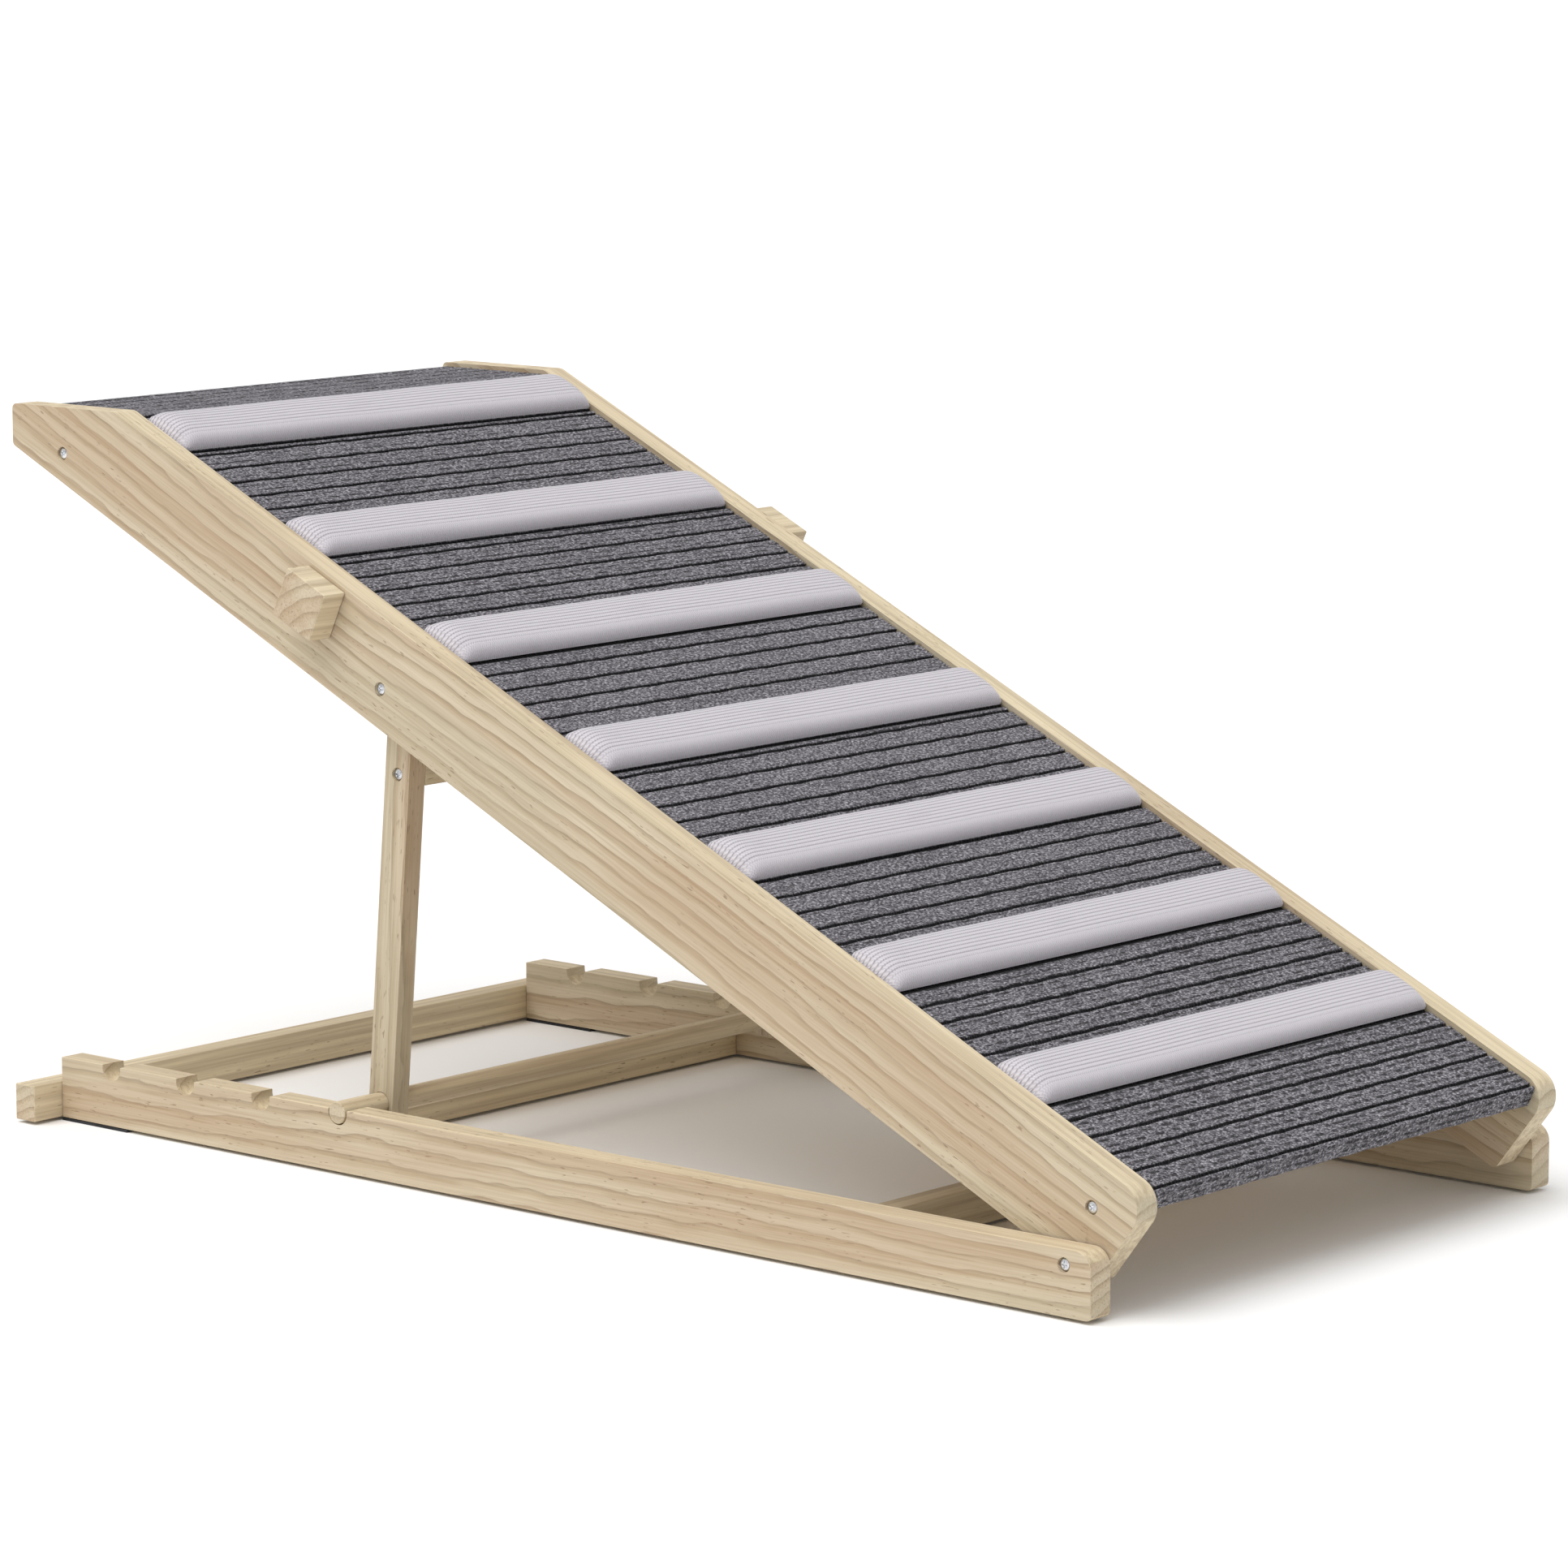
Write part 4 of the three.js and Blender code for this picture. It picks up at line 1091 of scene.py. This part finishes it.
    def stations(self, length: float) -> list[float]:
        """Places of the mesh rows along the cloth: the rows' own, and closer ones at each groove."""
        row = self.rib / self.rows_per_rib
        places = [k * row + share * row for k in range(int(length / row) + 1) for share in self.row_shares]
        for k in range(1, int(length / self.rib) + 1):
            for side in (-1, 1):
                places += [k * self.rib + side * self.groove_half * share for share in self.groove_shares]
        kept = [0.0]
        for place in sorted(places):
            if place - kept[-1] > self.closest and place < length - self.closest:
                kept.append(place)
        return kept + [length]

    def groove(self, place: float, column: int) -> float:
        """How deep a spot lies in a groove between two ribs, from 0 to 1.

        Args:
            place: distance along the cloth.
            column: mesh column across it, along which the groove wavers a little.

        Returns:
            1 at the bottom of a groove and 0 on a rib.
        """
        phase = column * self.waver_across + place * self.waver_along
        wobble = self.groove_waver * math.sin(phase)
        off = abs((place + wobble + self.rib / 2) % self.rib - self.rib / 2)
        return min(1.0, max(0.0, 1 - off / self.groove_half) * self.groove_steep)

    def by_rung(self, place: Vector) -> float:
        """How far the carpet is pressed in along a rung's downhill side, and darkened there with painted
        shadow, from 0 to 1.
        """
        along = (self.deck.to_part().inverted() @ place).x
        past = [along - foot for foot in self.feet if along >= foot - self.foot_slack]
        return max(0.0, 1 - max(0.0, min(past)) / self.pressed) if past else 0.0

    def dip(self, place: float, column: int) -> float:
        """How far the face sinks between two rows of loops."""
        row = self.rib / self.rows_per_rib
        wave = 0.5 - 0.5 * math.cos(math.tau * (place / row + 0.5))
        waver = self.row_waver * math.sin(column * self.row_waver_across)
        return wave * self.row_depth * (1 - self.row_waver + waver)


# ---------------------------------------------------------------- rungs
@dataclass
class Rungs:
    """Seven padded strips: a knitted cover over a foam core, glued across the carpet."""

    deck: Deck
    count: int = 7
    rib: float = 2.6 * MM
    rib_depth: float = 0.3 * MM
    rib_fade: float = 3 * MM                 # the ribs die out over this beside the smooth part
    lip: float = 0.9 * MM                    # upright foot of the sides
    lip_fade: float = 2 * MM                 # the ribs die out over this above the lip
    end_slope: float = 12 * MM               # the ends rise to full height over this
    end_power: float = 2.3
    plan_round: float = 3 * MM
    plan_cut: float = 0.08                   # share of the half width lost at the very end
    plan_power: float = 2.2
    fullness: float = 2.9                    # 2 would be an ellipse, and more is boxier
    sag: float = 0.02                        # half of the height's waver along a rung
    sag_along: float = 9                     # radians over half of a rung's length
    sag_step: float = 1.7                    # radians from rung to rung
    smooth_from: float = 11.5 * MM           # downhill of the crest, where the ribs end
    across: int = 72
    along: int = 130
    crisp: float = 55

    def build(self) -> None:
        """Builds every rung's cover, and gives the cores their filling."""
        fabric = RungFabric().make(self.rib, self.smooth_from)
        foam = Foam().make()
        for number in range(1, self.count + 1):
            self.cover(number, fabric)
            refinish(f"rung_core_{number}", foam)

    def cover(self, number: int, fabric: bpy.types.Material) -> None:
        """Builds one cover in place of its CAD node.

        Args:
            number: 1 for the highest rung.
            fabric: its finish.
        """
        node = f"rung_cover_{number}"
        low, high = corners_of(self.deck.tilted(node))
        size = high - low
        mesh = bmesh.new()
        bmesh.ops.create_grid(mesh, x_segments=self.across, y_segments=self.along, size=1.0)
        cloth = mesh.loops.layers.uv.new("cloth")
        flat = {vert: (vert.co.x, vert.co.y) for vert in mesh.verts}
        girth = self.girth(size)
        for vert, (u, v) in flat.items():
            vert.co = self.point(u, v, size, number, girth[self.column(u)])
        for face in mesh.faces:
            for loop in face.loops:
                u, v = flat[loop.vert]
                loop[cloth].uv = (girth[self.column(u)], v * size.y / 2)
        self.foot(mesh)
        bmesh.ops.recalc_face_normals(mesh, faces=mesh.faces)
        settle_order(mesh)
        middle = Vector(((low.x + high.x) / 2, (low.y + high.y) / 2, low.z))
        mesh.transform(self.deck.to_part() @ Matrix.Translation(middle))
        piece = to_object(mesh, f"rung_pad_{number}", fabric, self.crisp)
        dress(piece, "deck", node)

    def column(self, u: float) -> int:
        """The mesh column at a place across the rung."""
        return round((u + 1) / 2 * self.across)

    def section(self, u: float) -> tuple[float, float]:
        """The rounded cross-section: shares of the half width and of the height."""
        share = math.sin(math.pi / 2 * u)
        return share, math.sqrt(max(0.0, 1 - abs(share) ** self.fullness))

    def girth(self, size: Vector) -> list[float]:
        """Distances over the cross-section from its crest, for each mesh column."""
        points = []
        for column in range(self.across + 1):
            share, rise = self.section(2 * column / self.across - 1)
            points.append(Vector((share * size.x / 2, rise * (size.z - self.lip))))
        reach = [0.0]
        for first, second in zip(points, points[1:]):
            reach.append(reach[-1] + (second - first).length)
        return [place - reach[self.across // 2] for place in reach]

    def point(self, u: float, v: float, size: Vector, number: int, girth: float) -> Vector:
        """One point of a cover's upper face.

        Args:
            u: across the rung, from -1 on the uphill side to 1.
            v: along the rung, from -1 to 1.
            size: the rung's width, length and height.
            number: the rung, so that each has its own slight waver.
            girth: distance over the cross-section from the crest.

        Returns:
            The point, with the foot's middle as origin.
        """
        from_end = (1 - abs(v)) * size.y / 2
        squeeze = max(0.0, 1 - from_end / self.plan_round)
        half = size.x / 2 * (1 - self.plan_cut * squeeze ** self.plan_power)
        share, dome = self.section(u)
        end = min(1.0, from_end / self.end_slope)
        end = math.sqrt(max(0.0, 1 - (1 - end) ** self.end_power))
        waver = 1 - self.sag * (1 + math.sin(self.sag_along * v + number * self.sag_step))
        height = self.lip + (size.z - self.lip - self.rib_depth) * dome * end * waver
        rib = 0.5 - math.cos(math.tau * girth / self.rib) * 0.5
        calm = min(1.0, max(0.0, self.smooth_from - girth) / self.rib_fade)
        calm *= min(1.0, (height - self.lip) / self.lip_fade)
        return Vector((share * half, v * size.y / 2, height + rib * self.rib_depth * max(0.0, calm)))

    @staticmethod
    def foot(mesh: bmesh.types.BMesh) -> None:
        """Takes the rim down to just above the carpet and closes the flat underside."""
        grown = rim_down(mesh)
        for vert in (g for g in grown if isinstance(g, bmesh.types.BMVert)):
            vert.co.z = TOUCH
        bmesh.ops.holes_fill(mesh, edges=[g for g in grown if isinstance(g, bmesh.types.BMEdge)])


# ---------------------------------------------------------------- the rest
@dataclass
class Fittings:
    """Screws, pads and boards that keep their CAD shapes and get their finishes."""

    deck: Deck

    def build(self) -> None:
        """Finishes every CAD node that still shows."""
        zinc, rubber = Zinc().make(), Rubber().make()
        finishes = {f"foot_pad_{side}": rubber for side in SIDES}
        slope = self.deck.grain_turn(Grain.ALONG_SLOPE)
        finishes["deck_panel"] = Plywood().make("plywood_slope", slope)
        finishes["platform_panel"] = Plywood().make("plywood_level", (0, 0, 0))
        finishes.update({name: zinc for name in frame["nodes"] if "screw" in name})
        for name, material in finishes.items():
            refinish(name, material)


@dataclass
class Studio:
    """Floor, soft light and the camera; angles are in degrees."""

    aim: Axes = (0.1158, -0.1171, 0.2156)
    distance: float = 2.9563
    azimuth: float = 40.824
    elevation: float = 8.943
    lens: float = 141.16                     # millimetres, as is the sensor's width
    sensor: float = 36
    far: float = 50                          # metres that the camera sees
    floor_half: float = 30
    room: float = 0.64
    key_from: Axes = (-0.1, -0.46, 1.0)
    key_strength: float = 2.05
    key_spread: float = 55

    def build(self) -> None:
        """Sets the stage."""
        self.camera()
        self.floor()
        self.world()
        self.sky_light("soft_key", Vector(self.key_from), self.key_strength, self.key_spread)
        bpy.context.scene.view_settings.view_transform = "Standard"

    def camera(self) -> None:
        """Adds the camera at its place on a long lens."""
        data = bpy.data.cameras.new("camera")
        data.lens = self.lens
        data.sensor_width = self.sensor
        data.clip_end = self.far
        camera = bpy.data.objects.new("camera", data)
        bpy.context.scene.collection.objects.link(camera)
        tilt, turn = math.radians(90 - self.elevation), math.radians(self.azimuth)
        camera.rotation_euler = (tilt, 0, turn)
        back = Vector((math.sin(turn) * math.sin(tilt), -math.cos(turn) * math.sin(tilt), math.cos(tilt)))
        camera.location = Vector(self.aim) + back * self.distance
        bpy.context.scene.camera = camera

    def floor(self) -> None:
        """Adds a wide plain floor."""
        mesh = bmesh.new()
        bmesh.ops.create_grid(mesh, x_segments=8, y_segments=8, size=self.floor_half)
        piece = to_object(mesh, "floor", StudioFloor().make())

    def world(self) -> None:
        """Lights the whole room evenly in white."""
        world = bpy.data.worlds.new("studio")
        world.use_nodes = True
        shader = next(n for n in world.node_tree.nodes if n.type == "BACKGROUND")
        shader.inputs["Color"].default_value = (1.0, 1.0, 1.0, 1.0)
        shader.inputs["Strength"].default_value = self.room
        bpy.context.scene.world = world

    @staticmethod
    def sky_light(name: str, toward: Vector, strength: float, spread: float) -> None:
        """Adds one wide, far light.

        Args:
            name: the light's name.
            toward: the direction that it shines from.
            strength: its strength in watts per square metre.
            spread: its width in degrees, which softens the shadows.
        """
        data = bpy.data.lights.new(name, "SUN")
        data.energy = strength
        data.angle = math.radians(spread)
        light = bpy.data.objects.new(name, data)
        light.rotation_euler = toward.to_track_quat("Z", "Y").to_euler()
        bpy.context.scene.collection.objects.link(light)


def main() -> None:
    """Builds the stage and the ramp's pieces in order."""
    logging.basicConfig(level=logging.INFO, format="%(name)s: %(message)s")
    deck = Deck()
    LOG.info("slope %.2f degrees, legs lean %.2f", math.degrees(deck.slope), math.degrees(deck.lean))
    Studio().build()
    Timber(deck).build()
    CarpetSheet(deck).build()
    Rungs(deck).build()
    Fittings(deck).build()


if __name__ == "__main__":
    main()
